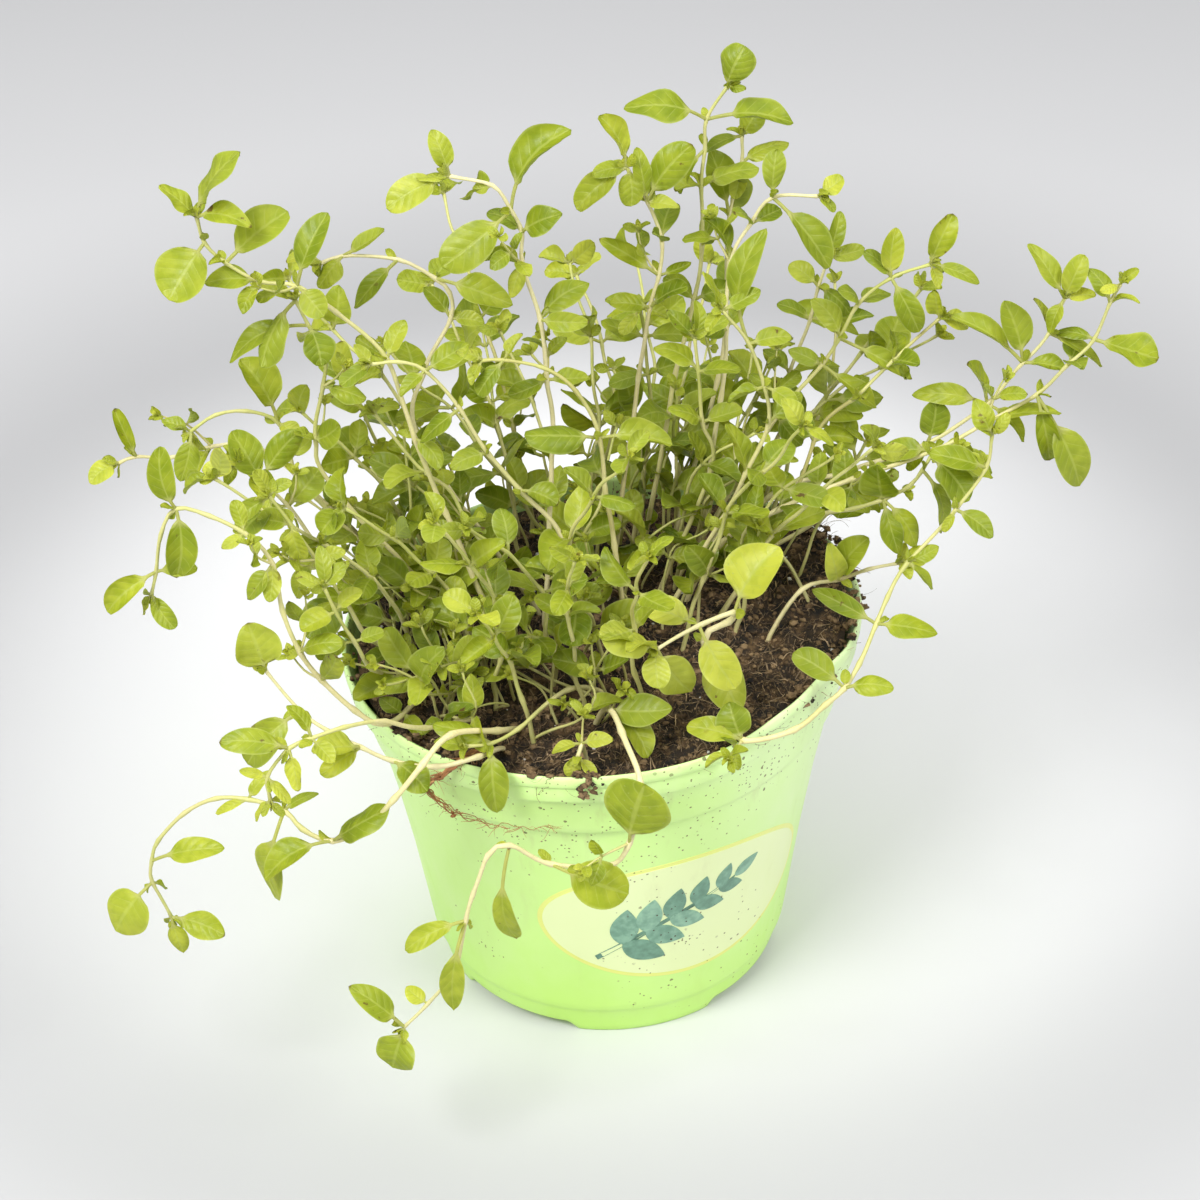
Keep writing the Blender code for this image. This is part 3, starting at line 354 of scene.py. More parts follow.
        (54, 34, 164, (-8, 2, 4, 0.4), (12, -3, -2, 0.3)),
        (56, 34, 173, (8, -4, -5, 0.55), (-7, 3, 5, 0.5)),
        (58, 34, 181, (3, 3, 11, 0.35), (-5, 2, 9, 0.4), (9, 2, 1, 0.4)),
    ],
    "right_hook": [
        (38, 16), (54, 22, 111), (61, 24, 120, (-5, 3, 8, 0.5), (13, -4, -2, 0.6)),
        (66, 25, 128, (-6, 4, 14, 0.45), (12, 3, -4, 0.35), (-4, -5, -8, 0.6)),
        (68, 25, 133, (6, 2, 3, 0.4), (-5, 1, 4, 0.4)),
    ],
    "left_low_drop": [
        (-30, -34), (-41, -58, 111), (-49, -68, 121), (-57, -76, 126),
        (-64, -80, 126, (5, -4, -4, 0.5), (-5, 3, 7, 0.4)),
        (-69, -82, 125, (-14, -2, 5, 0.35), (2, -5, -8, 0.35)),
        (-74, -84, 119, (-6, 0, 2, 0.3), (5, -3, -5, 0.3)),
        (-74, -85, 113, (-4, -2, -4, 0.35), (3, -2, -3, 0.35)),
    ],
    "left_rim_fill": [
        (-50, -16), (-54, -40, 115), (-57, -44, 126, (-9, -3, -2, 0.55), (7, 2, 1, 0.5)),
        (-60, -46, 136, (-8, -4, -2, 0.65), (6, 3, 4, 0.5)),
        (-62, -47, 143, (-6, 2, 4, 0.45), (5, 3, 5, 0.45), (-1, 4, 9, 0.3)),
    ],
    "centre_tuft": [
        (14, 8), (28, 6, 138), (26, 5, 153, (-8, -3, 6, 0.5), (10, 3, 1, 0.5)),
        (25, 4, 167, (-10, 3, 6, 0.45), (10, -3, 2, 0.5)),
        (24, 4, 176, (-6, 2, 7, 0.4), (8, 3, 4, 0.4), (1, 4, 8, 0.3)),
    ],
    "right_branch": [
        (30, -2), (43, -3, 124), (54, -4, 131), (62, -5, 133),
        (69, -5, 135, (8, -3, -12, 0.35), (4, -6, -12, 0.35), (-2, -2, 12, 0.7)), (75, -5, 139),
        (78, -4, 143, (6, -5, -15, 0.35)), (80, -3, 146, (9, -6, -9, 0.6), (15, -3, -4, 0.4)),
    ],
    "right_twig": [
        (42, -10), (50, -7, 111), (59, -5, 112, (7, -1, 13, 0.45), (-2, -4, 12, 0.4)), (66, -6, 116),
        (73, -8, 119, (8, -2, 4, 0.5), (2, 1, 5, 0.5), (3, -4, -2, 0.6)),
    ],
}

# Sprigs with a stem or leaves of their own: stem radius, how much younger their leaves look, and how far a
# leaf may turn at random. On the low hanging sprigs the younger, paler leaves are partly painted light
# against the shade of the dome above them. The two below it stand for the others and for the inner shoots.
NEAR_SPRIGS = {
    "sprig_front_right": (1.15, 0.6, 0.3), "sprig_front_sprout": (0.65, 0.3, 0.3),
    "sprig_front_hang": (0.8, 0.15, 0.22), "sprig_trail_left": (0.8, 0.15, 0.3),
    "sprig_left_low_drop": (0.7, 0.15, 0.3), "sprig_rim_low": (0.7, 0.15, 0.3),
    "sprig_left_fall": (0.74, 0.1, 0.3), "sprig_right_branch": (0.74, 0.0, 0.3),
    "sprig_right_twig": (0.65, 0.3, 0.3),
}
USUAL_SPRIG = (0.74, 0.0, 0.38)
INNER_SPRIG = (INNER_STEM_RADIUS, 0.0, USUAL_SWAY)

# Sprigs that also bear leaves at the joints for which the table lists none
LEAFY_SPRIGS = {"sprig_back_tall", "sprig_back_tall_twin", "sprig_back_cluster", "sprig_back_right_bow",
                "sprig_upper_right", "sprig_high_bow", "sprig_far_right"}

# Inner shoots fill the dome by rule: they stand on a spiral over the peat and lean outwards.
INNER_STEPS = 32
INNER_RADIUS = (7.0, 50.0)
INNER_HEIGHT = (42, 66)
INNER_LEAF = (9, 14)
INNER_LEAF_WIDTH = (0.42, 0.62)
INNER_BEND = 0.16
INNER_LEAN = (0.15, 0.6)
MIDDLE_GAIN = 24.0
BACK_GAIN = 0.25
FRONT_STRIP = -25.0
FRONT_LEAN = 0.55
GOLDEN_ANGLE = math.radians(137.5)
BARE_CORNER = (12, -14)
ROOT_SPACING = 3.5
JOINT_SPACING = 17.0
SPREAD_ANGLE = math.radians(62)

# Young shoots between them, which stay lower in front of a line and keep off the front edge
SHOOT_GROUPS = 6
SHOOTS_IN_GROUP = 14
SHOOT_RADIUS = 54
SHOOT_EDGE = -44
SHOOT_MARGIN = 4
SHOOT_HEIGHT = (14, 66)
SHOOT_LEAF = (9, 15.5)
FRONT_LINE = -8.0
LOW_IN_FRONT = 0.55

# Low shoots along the rim: the part of the rim in degrees, how far out they root, how high they grow
LOW_GROUPS = 2
LOW_SHOOTS_IN_GROUP = 15
LOW_ARC = (150, 268)
LOW_RADIUS = (24, 55)
LOW_HEIGHT = (12, 34)

# The loose root over the rim: (degrees round the pot, distance from its axis, height)
LOOSE_ROOT = [
    (-119, 56, 98.4), (-120, 61, 100.6), (-121, 65, 101.4), (-124, 67.0, 97.5), (-129, 66.8, 92),
    (-130, 65.4, 87.5), (-126, 64.6, 84.5), (-118, 64.4, 83), (-109, 64.6, 84), (-100, 65, 86),
]
# Its strands, the fine roots that leave it and the crumbs that cling to it
ROOT_STRANDS = 11
STRAND_RADIUS = (0.2, 0.46)
SIDE_ROOTS = 90
SIDE_ROOT_LENGTH = (1.5, 5.5)
ROOT_CRUMBS = 30

# Camera
VIEW_ELEVATION = math.radians(35)
VIEW_ROLL = math.radians(-1.7)
VIEW_DISTANCE = 0.635
VIEW_TARGET = Vector((0.0, 0.0, 0.1048))
VIEW_LENS = 76.32
SENSOR = 36.0

# Paper, in metres, with a painted pool of light: where it is palest, how far it fades into painted shade, and
# how it recovers further back
PAPER_LIGHT_POOL = (0.0, 0.12, 0.0)
PAPER_SHADE_SPREAD = (0.1, 0.25)
PAPER_FAR = (0.2, 0.4, 1.0, 0.45)
PAPER_LIT = (0.79, 0.79, 0.795)
PAPER_SHADED = (0.43, 0.43, 0.436)
FLOOR_HALF = 6.0

# Soft lights in metres and watts: (name, place, width, power). All of them face the same point.
LIGHTS = [
    ("key_light", (-0.55, -0.62, 1.05), 0.6, 15.4),
    ("fill_light", (0.72, -0.62, 0.95), 0.7, 8.6),
    ("top_light", (0.05, 0.1, 1.3), 1.2, 5.8),
]
LIGHT_TARGET = (0, 0, 0.1)
WORLD_TINT = (0.93, 0.94, 0.96, 1)
WORLD_STRENGTH = 0.43

# Tints: single ones, (dark, light) or (usual, paler) pairs, and ramps of (place, tint)
# The paler tint of the pot and the label is dust on the collar and painted light up the wall and at the
# right.
POT_GREENS = ((0.56, 0.89, 0.178), (0.81, 0.97, 0.58))
POT_FILM = (0.42, 0.40, 0.20)
POT_DIRT = (0.11, 0.075, 0.03)
LABEL_YELLOWS = ((0.80, 0.86, 0.20), (0.82, 0.88, 0.34))
LABEL_CREAMS = ((0.80, 0.91, 0.45), (0.84, 0.93, 0.58))
INK_TINTS = [(0.0, (0.10, 0.22, 0.15)), (0.5, (0.17, 0.34, 0.24)), (1.0, (0.30, 0.52, 0.37))]
INK_DIRT = (0.05, 0.028, 0.014)
PEAT_TINTS = [(0.38, (0.006, 0.004, 0.002)), (0.51, (0.036, 0.021, 0.009)), (0.62, (0.14, 0.084, 0.037)),
              (0.84, (0.36, 0.24, 0.12))]
PEAT_STRAW = (0.40, 0.27, 0.14)
PERLITE_TINTS = ((0.62, 0.60, 0.55), (0.80, 0.79, 0.75))
FIBRE_TINTS = ((0.05, 0.030, 0.015), (0.62, 0.44, 0.25))
ROOT_TINTS = ((0.30, 0.12, 0.04), (0.72, 0.40, 0.17))
LEAF_GREENS = [(0.0, (0.62, 0.655, 0.09)), (0.35, (0.43, 0.495, 0.035)), (0.7, (0.28, 0.36, 0.016)),
               (1.0, (0.15, 0.235, 0.008))]
LEAF_DRIFT = (0.36, 0.44, 0.07)
LEAF_VEIN = (0.56, 0.62, 0.16)
LEAF_UNDERSIDE = (0.46, 0.53, 0.20)
LEAF_EDGE = (0.60, 0.65, 0.24)
LEAF_STALK = (0.58, 0.60, 0.24)
LEAF_BROWN = (0.17, 0.09, 0.03)
LEAF_GLOW = (1.45, 1.35, 0.4)
STEM_TINTS = [(0.0, (0.80, 0.71, 0.36)), (0.4, (0.68, 0.62, 0.29)), (1.0, (0.49, 0.51, 0.14))]
STEM_PALE = (0.80, 0.71, 0.44)
STEM_FLUSH = (0.46, 0.37, 0.15)
STEM_RIBS = (0.44, 0.44, 0.09)

# How the materials behave: loose crumbs' paleness, a leaf's gloss and the share of light through it, how
# far light spreads in a stem in metres, and how many vein pairs a leaf shows and how much they slant
CRUMB_LIFT = 0.3
LEAF_SPECULAR = 0.36
LEAF_THROUGH = 0.48
STEM_GLOW_DEPTH = (0.0012, 0.0012, 0.0004)
VEIN_PAIRS = 5.2
VEIN_SLANT = 1.3
NOISE_RANGE = (0.3, 0.7)
# Soil specks on the pot: (cells to a metre, how rare, how small)
DIRT_SIZES = ((260.0, 0.965, 0.05), (520.0, 0.91, 0.06), (1100.0, 0.87, 0.10))


# Meshes


class Build:
    """Collects closed shapes into one mesh, with two vectors at each vertex for its materials."""

    def __init__(self):
        self.points, self.faces, self.surfaces = [], [], []
        self.place, self.tone = [], []
        self.count = 0

    def add(self, points, faces, surface=0, place=None, tone=(0, 0, 0)):
        points = np.asarray(points, float)
        self.points.append(points)
        self.faces += [tuple(int(index) + self.count for index in face) for face in faces]
        self.surfaces += [surface] * len(faces)
        self.place.append(np.zeros_like(points) if place is None else np.asarray(place, float))
        self.tone.append(np.tile(np.asarray(tone, float), (len(points), 1)))
        self.count += len(points)

    def finish(self, name, materials, slot, *nodes):
        """The mesh as a piece on the root body, in place of the named nodes. Its finish, slot, is not used.
        """
        mesh = bpy.data.meshes.new(name)
        mesh.from_pydata((np.concatenate(self.points) * MM).tolist(), [], self.faces)
        for label, values in (("place", self.place), ("tone", self.tone)):
            attribute = mesh.attributes.new(label, "FLOAT_VECTOR", "POINT")
            attribute.data.foreach_set("vector", np.concatenate(values).astype(np.float32).ravel())
        for material in materials:
            mesh.materials.append(material)
        mesh.polygons.foreach_set("material_index", self.surfaces)
        mesh.shade_smooth()
        mesh.set_sharp_from_angle(angle=SHARP_ANGLE)
        piece = bpy.data.objects.new(name, mesh)
        bpy.context.scene.collection.objects.link(piece)
        return put(piece, slot, *nodes)


def put(piece, slot, *nodes):
    """Ride the piece on the part's one body and hide the nodes that it stands for. Its finish, slot, is not
    used.
    """
    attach(piece, "root")
    if nodes:
        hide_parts(*nodes)
    return piece


def smooth_route(points, step):
    """Points about a step apart on the curve through the given ones, with the joints' indices."""
    route, joints = [], []
    ends = [2 * points[0] - points[1], *points, 2 * points[-1] - points[-2]]
    for before, start, end, after in zip(ends, ends[1:], ends[2:], ends[3:]):
        joints.append(len(route))
        count = max(1, round((end - start).length / step))
        for index in range(count):
            t = index / count
            route.append(
                0.5 * (2 * start + (end - before) * t + (2 * before - 5 * start + 4 * end - after) * t * t
                       + (3 * start - before - 3 * end + after) * t**3)
            )
    joints.append(len(route))
    return route + [points[-1]], joints


def closed_faces(rings, sides):
    """Faces of rings of points joined in turn and closed by the two points that come after them."""
    faces = []
    for ring in range(rings - 1):
        for step in range(sides):
            a, b = ring * sides + step, ring * sides + (step + 1) % sides
            faces.append((a, b, b + sides, a + sides))
    start, end = rings * sides, rings * sides + 1
    last = (rings - 1) * sides
    for step in range(sides):
        following = (step + 1) % sides
        faces.append((start, following, step))
        faces.append((end, last + step, last + following))
    return faces


def tube(route, radii, sides):
    """Points and faces of a closed tube with pointed ends, carried along the route without twisting."""
    route = np.array([tuple(point) for point in route])
    ways = np.gradient(route, axis=0)
    ways /= np.linalg.norm(ways, axis=1)[:, None] + 1e-12
    side = np.cross(ways[0], (0.3, 0.5, 0.81))
    side /= np.linalg.norm(side)
    rings = []
    angles = np.arange(sides) * math.tau / sides
    for centre, way, radius in zip(route, ways, radii):
        side = side - way * side.dot(way)
        side /= np.linalg.norm(side)
        other = np.cross(way, side)
        rings.append(centre + radius * (np.cos(angles)[:, None] * side + np.sin(angles)[:, None] * other))
    ends = [route[0] - ways[0] * radii[0] * 0.5, route[-1] + ways[-1] * radii[-1]]
    return np.concatenate([*rings, ends]), closed_faces(len(route), sides)


BLADES = {}


def blade_faces(rows, columns):
    """Faces of a flat two-sided grid whose upper and lower layers share their border."""
    if (rows, columns) in BLADES:
        return BLADES[rows, columns]

    def top(row, column):
        return row * (columns + 1) + column

    def bottom(row, column):
        if row in (0, rows) or column in (0, columns):
            return top(row, column)
        return (rows + 1) * (columns + 1) + (row - 1) * (columns - 1) + column - 1

    faces = []
    for row in range(rows):
        for column in range(columns):
            near = (row, column), (row + 1, column), (row + 1, column + 1), (row, column + 1)
            faces.append(tuple(top(*corner) for corner in near))
            faces.append(tuple(bottom(*corner) for corner in reversed(near)))
    BLADES[rows, columns] = faces
    return faces


def add_leaf(build, base, reach, width, dice, age, grid, sway=USUAL_SWAY):
    """A leaf from its base on a stem to its tip: a stalk, and a veined blade that narrows to both ends."""
    rows, columns = grid
    length = reach.length
    along = reach.normalized()
    towards = LIGHT + Vector([dice.uniform(-sway, sway) for _ in range(3)])
    up = towards - along * towards.dot(along)
    if up.length < 0.2:
        up = along.orthogonal()
    up.normalize()
    left = up.cross(along)
    stalk = dice.uniform(*STALK) + 0.014 * max(0, length - 13)
    shoulder, blunt = dice.uniform(*SHOULDER), dice.uniform(*BLUNTNESS)
    arch, droop = dice.uniform(*ARCH), dice.uniform(*DROOP)
    fold = dice.gauss(0.5, 0.7) * sway
    twist, wave, phase = dice.uniform(-sway, sway), dice.uniform(*WAVE), dice.uniform(0, math.tau)
    bow = dice.uniform(*BOW)
    veins = dice.uniform(*VEINS)

    u = np.linspace(0, 1, rows + 1)
    u = (u + (1 - np.cos(np.pi * u)) / 2) / 2
    v = np.linspace(-1, 1, columns + 1)
    t = np.clip((u - stalk) / (1 - stalk), 0, 1)
    peak = shoulder / (shoulder + blunt)
    shape = t**shoulder * (1 - t) ** blunt / (peak**shoulder * (1 - peak) ** blunt)
    stalk_half = min(0.42, 0.03 * length + 0.1)
    half = stalk_half * (1 - 0.9 * t) + (width / 2) * shape
    blade = np.clip(shape * 1.6, 0, 1)
    y = half[:, None] * v[None, :]
    side_angle = fold * blade[:, None] * np.abs(v)[None, :]
    z = np.abs(y) * np.sin(side_angle)
    y = y * np.cos(side_angle)
    edge_wave = wave * half[:, None] * v[None, :] ** 2 * np.sin(3 * math.pi * u + phase)[:, None]
    z = z + edge_wave * np.sign(v)[None, :]
    z = z - 0.22 * blade[:, None] * np.exp(-((y / 0.55) ** 2))
    ripple = np.cos(math.tau * (veins * t[:, None] - 1.3 * np.abs(v)[None, :]))
    z = z + 0.012 * width * ripple * blade[:, None] * (1 - v**4)[None, :]
    angle = twist * u[:, None]
    y, z = y * np.cos(angle) - z * np.sin(angle), y * np.sin(angle) + z * np.cos(angle)
    y = y + (bow * length * 4 * u * (1 - u))[:, None]
    rise = arch * length * u * (1 - u) - droop * length * t**2.2
    z = z + rise[:, None]
    x = np.repeat((length * (u - 0.1 * abs(fold) * t**2 * 0.3))[:, None], columns + 1, 1)
    thick = 0.5 * stalk_half * (1 - blade)[:, None] * 1.6 + 0.13
    lens = thick * np.sqrt(np.clip(1 - v**2, 0, 1))[None, :]
    axes = np.array([tuple(along), tuple(left), tuple(up)])

    def place_of(height):
        return np.stack([x, y, z + height], -1) @ axes + np.array(tuple(base))

    inner = (slice(1, rows), slice(1, columns))
    points = np.concatenate([place_of(lens).reshape(-1, 3), place_of(-lens)[inner].reshape(-1, 3)])
    grid_t, grid_v = np.broadcast_arrays(np.where(u < stalk, u - stalk, t)[:, None], v[None, :])
    upper = np.stack([grid_t, grid_v, np.ones_like(grid_t)], -1)
    lower = np.stack([grid_t, grid_v, -np.ones_like(grid_t)], -1)[inner]
    place = np.concatenate([upper.reshape(-1, 3), lower.reshape(-1, 3)])
    tone = (age, dice.random(), dice.random() ** 2)
    build.add(points, blade_faces(rows, columns), 0, place, tone)


def add_stem(build, route, joints, radius, tip, dice, sides=STEM_SIDES):
    """A stem with slight bends, a swelling at each joint and a finer tip."""
    offset = Vector([dice.uniform(0, 50) for _ in range(3)])
    # Inner stems start greener and darker on the ramp: partly their own colour, partly painted shade.
    sideways, greener = (STEM_WANDER, 0.0) if radius > INNER_STEM_RADIUS else (INNER_WANDER, INNER_STEM_SHADED_GREEN)
    wander = [noise.noise_vector(point / WANDER_LENGTH + offset) * sideways for point in route]
    moved = [point + shift * min(1, index / 6) for index, (point, shift) in enumerate(zip(route, wander))]
    fractions = np.linspace(0, 1, len(route))
    radii = radius + (tip - radius) * fractions
    for joint in joints[1:]:
        radii = radii * (1 + JOINT_SWELLING * np.exp(-((np.arange(len(route)) - joint) / 0.55) ** 2))
    points, faces = tube(moved, radii, sides)
    place = np.zeros_like(points)
    place[: len(route) * sides, 0] = greener + (1 - greener) * np.repeat(fractions, sides)
    place[-1, 0] = 1
    build.add(points, faces, 1, place, (dice.random() * (1 - greener), dice.random(), 0))
    return moved


def side_ways(way, turn):
    """Two opposite directions square to the stem, turned round it by an angle."""
    side = way.orthogonal().normalized()
    side.rotate(Matrix.Rotation(turn, 3, way))
    return side, -side


def add_pair(build, here, way, turn, dice, forward, lift, length, width, age, grid, long_grid=None,
             sway=USUAL_SWAY):
    """Two leaves across a stem. Each of length, width and age, and forward if it varies, is (least, most)."""
    for side in side_ways(way, turn):
        ahead = dice.uniform(*forward) if isinstance(forward, tuple) else forward
        reach = (way * ahead + side + LIGHT * lift).normalized() * dice.uniform(*length)
        fine = long_grid if long_grid and reach.length > LONG_LEAF else grid
        wide = reach.length * dice.uniform(*width)
        add_leaf(build, here, reach, wide, dice, dice.uniform(*age), fine, sway)


def add_axil_leaves(build, here, way, dice, turn):
    """The small young leaves in the corners between a stem and its leaves."""
    for side in side_ways(way, turn):
        for _ in range(dice.choice((0, 0, 1, 1))):
            reach = (way * dice.uniform(0.5, 1.1) + side * dice.uniform(0.5, 1.0)
                     + side.cross(way) * dice.uniform(-0.5, 0.5)).normalized()
            reach = reach * dice.uniform(0.6, 1) * AXIL_LEAF
            add_leaf(build, here, reach, reach.length * dice.uniform(0.4, 0.6), dice, AXIL_AGE, SMALL_GRID)


def add_tip(build, here, way, dice, size, turn):
    """The young leaves folded round a growing tip."""
    for pair, (opening, share) in enumerate(TIP_PAIRS):
        for side in side_ways(way, turn + pair * math.pi / 2):
            reach = (way * math.cos(opening) + side * math.sin(opening)) * size * share
            add_leaf(build, here + way * pair * 0.4, reach, reach.length * 0.5, dice, 0.12 * (2 - pair),
                     SMALL_GRID)


# Pot


def lean(x, height):
    """The soft rim sits a little lower on the left than on the right."""
    return RIM_LEAN * x * np.clip(height / POT_HEIGHT, 0, None) ** 1.5


def pot_profile():
    """(radius, height) from the middle of the inner floor, up, over the lip, down and under to the axis."""
    inner = [
        (0, FLOOR_UNDERSIDE + WALL), (FOOT_RADIUS - WALL - 1, FLOOR_UNDERSIDE + WALL),
        (FOOT_RADIUS - WALL, FLOOR_UNDERSIDE + WALL + 0.8), (46.1, GROOVE_HEIGHT), (50.7, 40), (53.9, 60),
        (57.3, STACKING_LINE - 0.4), (58.6, STACKING_LINE + 0.9), (61.9, COLLAR_BOTTOM - 0.3),
        (63.2, COLLAR_BOTTOM + 0.8), (63.45, COLLAR_BOTTOM + 1.6), (63.7, 99.2),
    ]
    lip = [(63.85, 99.75), (64.2, 100.1), (64.5, POT_HEIGHT), (64.8, 100.0), (LIP_RADIUS, 99.5)]
    outer = [
        (LIP_RADIUS + 0.05, 98.4), (LIP_RADIUS, 97.4), (64.75, 97.0), (COLLAR_RADIUS, 96.75),
        (COLLAR_RADIUS - 0.2, COLLAR_BOTTOM + 0.3), (64.0, COLLAR_BOTTOM - 0.2), (63.1, COLLAR_BOTTOM - 0.35),
        (62.7, COLLAR_BOTTOM - 0.8), (59.7, STACKING_LINE + 1.3), (59.3, STACKING_LINE + 0.5),
        (58.5, STACKING_LINE - 0.1), *reversed(list(zip(WALL_RADII, WALL_HEIGHTS))),
        (47.1, GROOVE_HEIGHT + 0.3), (46.75, GROOVE_HEIGHT - 0.3), (46.5, GROOVE_HEIGHT - 1.1),
        (FOOT_RADIUS + 0.35, 0.5), (FOOT_RADIUS, 0.05), (FOOT_RADIUS - 0.5, 0),
    ]
    foot = FOOT_RADIUS - FOOT_RING_WIDTH
    pad = [(PAD_RADIUS + 1, FLOOR_UNDERSIDE), (PAD_RADIUS, 0), (0, 0)]
    under = [(foot, 0), (foot - 1, FLOOR_UNDERSIDE), *pad]
    corners = inner + lip + outer + under
    points = [corners[0]]
    for (r0, z0), (r1, z1) in zip(corners, corners[1:]):
        count = max(1, math.ceil(math.hypot(r1 - r0, z1 - z0) / PROFILE_STEP))
        points += [(r0 + (r1 - r0) * i / count, z0 + (z1 - z0) * i / count) for i in range(1, count + 1)]
    return points


def near_angle(angle, centre, width):
    away = (angle - centre + math.pi) % math.tau - math.pi
    return np.exp(-((away / width) ** 2))


def pressed(angle, height):
    """The share of its radius that the rim keeps, where it is bent inwards."""
    high = np.clip((np.asarray(height) - PRESS_HEIGHT) / (POT_HEIGHT - PRESS_HEIGHT), 0, 1)
    return 1 - PRESS_SHARE * near_angle(angle, PRESS_ANGLE, PRESS_WIDTH) * high


def bend_pot(radius, angle, height):
    """The thin wall's own bends: a slightly oval rim, small dents, and the lean of the whole rim."""
    share = np.clip(height / POT_HEIGHT, 0, None)
    radius = radius + 0.35 * np.sin(2 * angle + 0.7) * share**2 + 0.16 * np.sin(5 * angle + 1) * share**3
    dent = near_angle(angle, DENT_ANGLE, 0.07) * np.exp(-(((height - 85) / 4.5) ** 2))
    radius = radius - 0.8 * dent
    crease = near_angle(angle, CREASE_ANGLE, 0.1) * np.exp(-(((height - 88) / 1.6) ** 2))
    radius = radius - 0.45 * crease
    x = radius * np.cos(angle)
    radius = radius * pressed(angle, height)
    wave = near_angle(angle, WAVE_ANGLES[0], 0.09) - 0.7 * near_angle(angle, WAVE_ANGLES[1], 0.1)
    z = height + lean(x, height) + 1.1 * wave * share**10
    return radius * np.cos(angle), radius * np.sin(angle), z


def make_pot(material):
    profile = pot_profile()
    angles = np.arange(POT_STEPS) * math.tau / POT_STEPS
    radius, height = np.array(profile[1:-1]).T
    radius, height = radius[:, None] + 0 * angles, height[:, None] + 0 * angles
    gap = math.tau / FOOT_COUNT
    middle = (angles - math.radians(45) - FOOT_TURN) % gap
    away = np.minimum(middle, gap - middle) * FOOT_RADIUS
    arch = np.clip((ARCH_WIDTH / 2 - away) / ARCH_RAMP + 0.5, 0, 1)
    arch = arch * arch * (3 - 2 * arch)
    foot_ring = np.clip((radius - FOOT_RADIUS + FOOT_RING_WIDTH + 1) / 0.9, 0, 1) * (height < FLOOR_UNDERSIDE)
    height = height + arch[None, :] * foot_ring * (FLOOR_UNDERSIDE - height)
    x, y, z = bend_pot(radius, angles[None, :], height)
    rings = np.stack([x, y, z], -1)
    points = np.concatenate([rings.reshape(-1, 3), [(0, 0, profile[0][1]), (0, 0, profile[-1][1])]])
    build = Build()
    build.add(points, closed_faces(len(rings), POT_STEPS))
    pot = build.finish("herb_pot", [material], "green_plastic", "pot")
    cut_drains(pot)
    pot.data.set_sharp_from_angle(angle=POT_SHARP_ANGLE)


def cut_drains(pot):
    """The drain holes, cut out of the pot's floor."""
    bm = bmesh.new()
    for turn in range(DRAIN_COUNT):
        spin = Matrix.Rotation(turn * math.tau / DRAIN_COUNT + FOOT_TURN, 4, "Z")
        place = spin @ Matrix.Translation((DRAIN_CIRCLE * MM, 0, FLOOR_UNDERSIDE * MM))
        bmesh.ops.create_cone(bm, cap_ends=True, segments=DRAIN_SIDES, radius1=DRAIN_RADIUS * MM,
                              radius2=DRAIN_RADIUS * MM, depth=3 * MM, matrix=place)
    mesh = bpy.data.meshes.new("drain_cutter")
    bm.to_mesh(mesh)
    bm.free()
    cutter = bpy.data.objects.new("drain_cutter", mesh)
    bpy.context.scene.collection.objects.link(cutter)
    cut = pot.modifiers.new("drains", "BOOLEAN")
    cut.operation = "DIFFERENCE"
    cut.object = cutter
    graph = bpy.context.evaluated_depsgraph_get()
    done = bpy.data.meshes.new_from_object(pot.evaluated_get(graph))
    pot.modifiers.clear()
    pot.data = done
    bpy.data.objects.remove(cutter)


def wall_radius(height):
    return np.interp(height, WALL_HEIGHTS, WALL_RADII)


def on_wall(along, above, proud):
    """Points on the pot's wall, along and above the middle of the label, standing proud of it."""
    height = LABEL_HEIGHT + np.asarray(above)
    angle = LABEL_ANGLE + np.asarray(along) / LABEL_RADIUS
    return np.stack(bend_pot(wall_radius(height) + proud, angle, height), -1)


def add_print(build, outline, inner_rings, tone=(0, 0, 0), proud=PRINT_THICKNESS):
    """A closed film on the wall, inside an outline of (along, above) round a middle point."""
    outline = np.asarray(outline, float)
    middle = outline.mean(0)
    count = len(outline)
    layers = []
    for height in (proud, PRINT_DEPTH):
        shares = np.linspace(1, 0, inner_rings + 1)[:-1]
        rings = [middle + (outline - middle) * share for share in shares]
        flat = np.concatenate([*rings, [middle]])
        layers.append(on_wall(flat[:, 0], flat[:, 1], height))
    faces = []
    size = len(layers[0])
    for ring in range(inner_rings - 1):
        for step in range(count):
            a, b = ring * count + step, ring * count + (step + 1) % count
            faces.append((a, b, b + count, a + count))
            faces.append((a + size, a + size + count, b + size + count, b + size))
    last = (inner_rings - 1) * count
    for step in range(count):
        a, b = last + step, last + (step + 1) % count
        faces.append((a, b, size - 1))
        faces.append((b + size, a + size, 2 * size - 1))
        a, b = step, (step + 1) % count
        faces.append((b, a, a + size, b + size))
    build.add(np.concatenate(layers), faces, 0, None, tone)


def oval(half_along, half_above, tilt, count=120):
    turn = np.arange(count) * math.tau / count
    along, above = half_along * np.cos(turn), half_above * np.sin(turn)
    return np.stack([along * math.cos(tilt) - above * math.sin(tilt),
                     along * math.sin(tilt) + above * math.cos(tilt)], -1)


def printed_leaf(x, y, turn, length, width):
    """A flat drawn leaf from (x, y) on the label, as an outline."""
    t = np.linspace(0, 1, 22)
    half = width / 2 * np.sin(np.pi * t**0.8) ** 0.85
    along = np.concatenate([t, t[-2:0:-1]]) * length
    above = np.concatenate([-half, half[-2:0:-1]])
    return np.stack([x + along * math.cos(turn) - above * math.sin(turn),
                     y + along * math.sin(turn) + above * math.cos(turn)], -1)


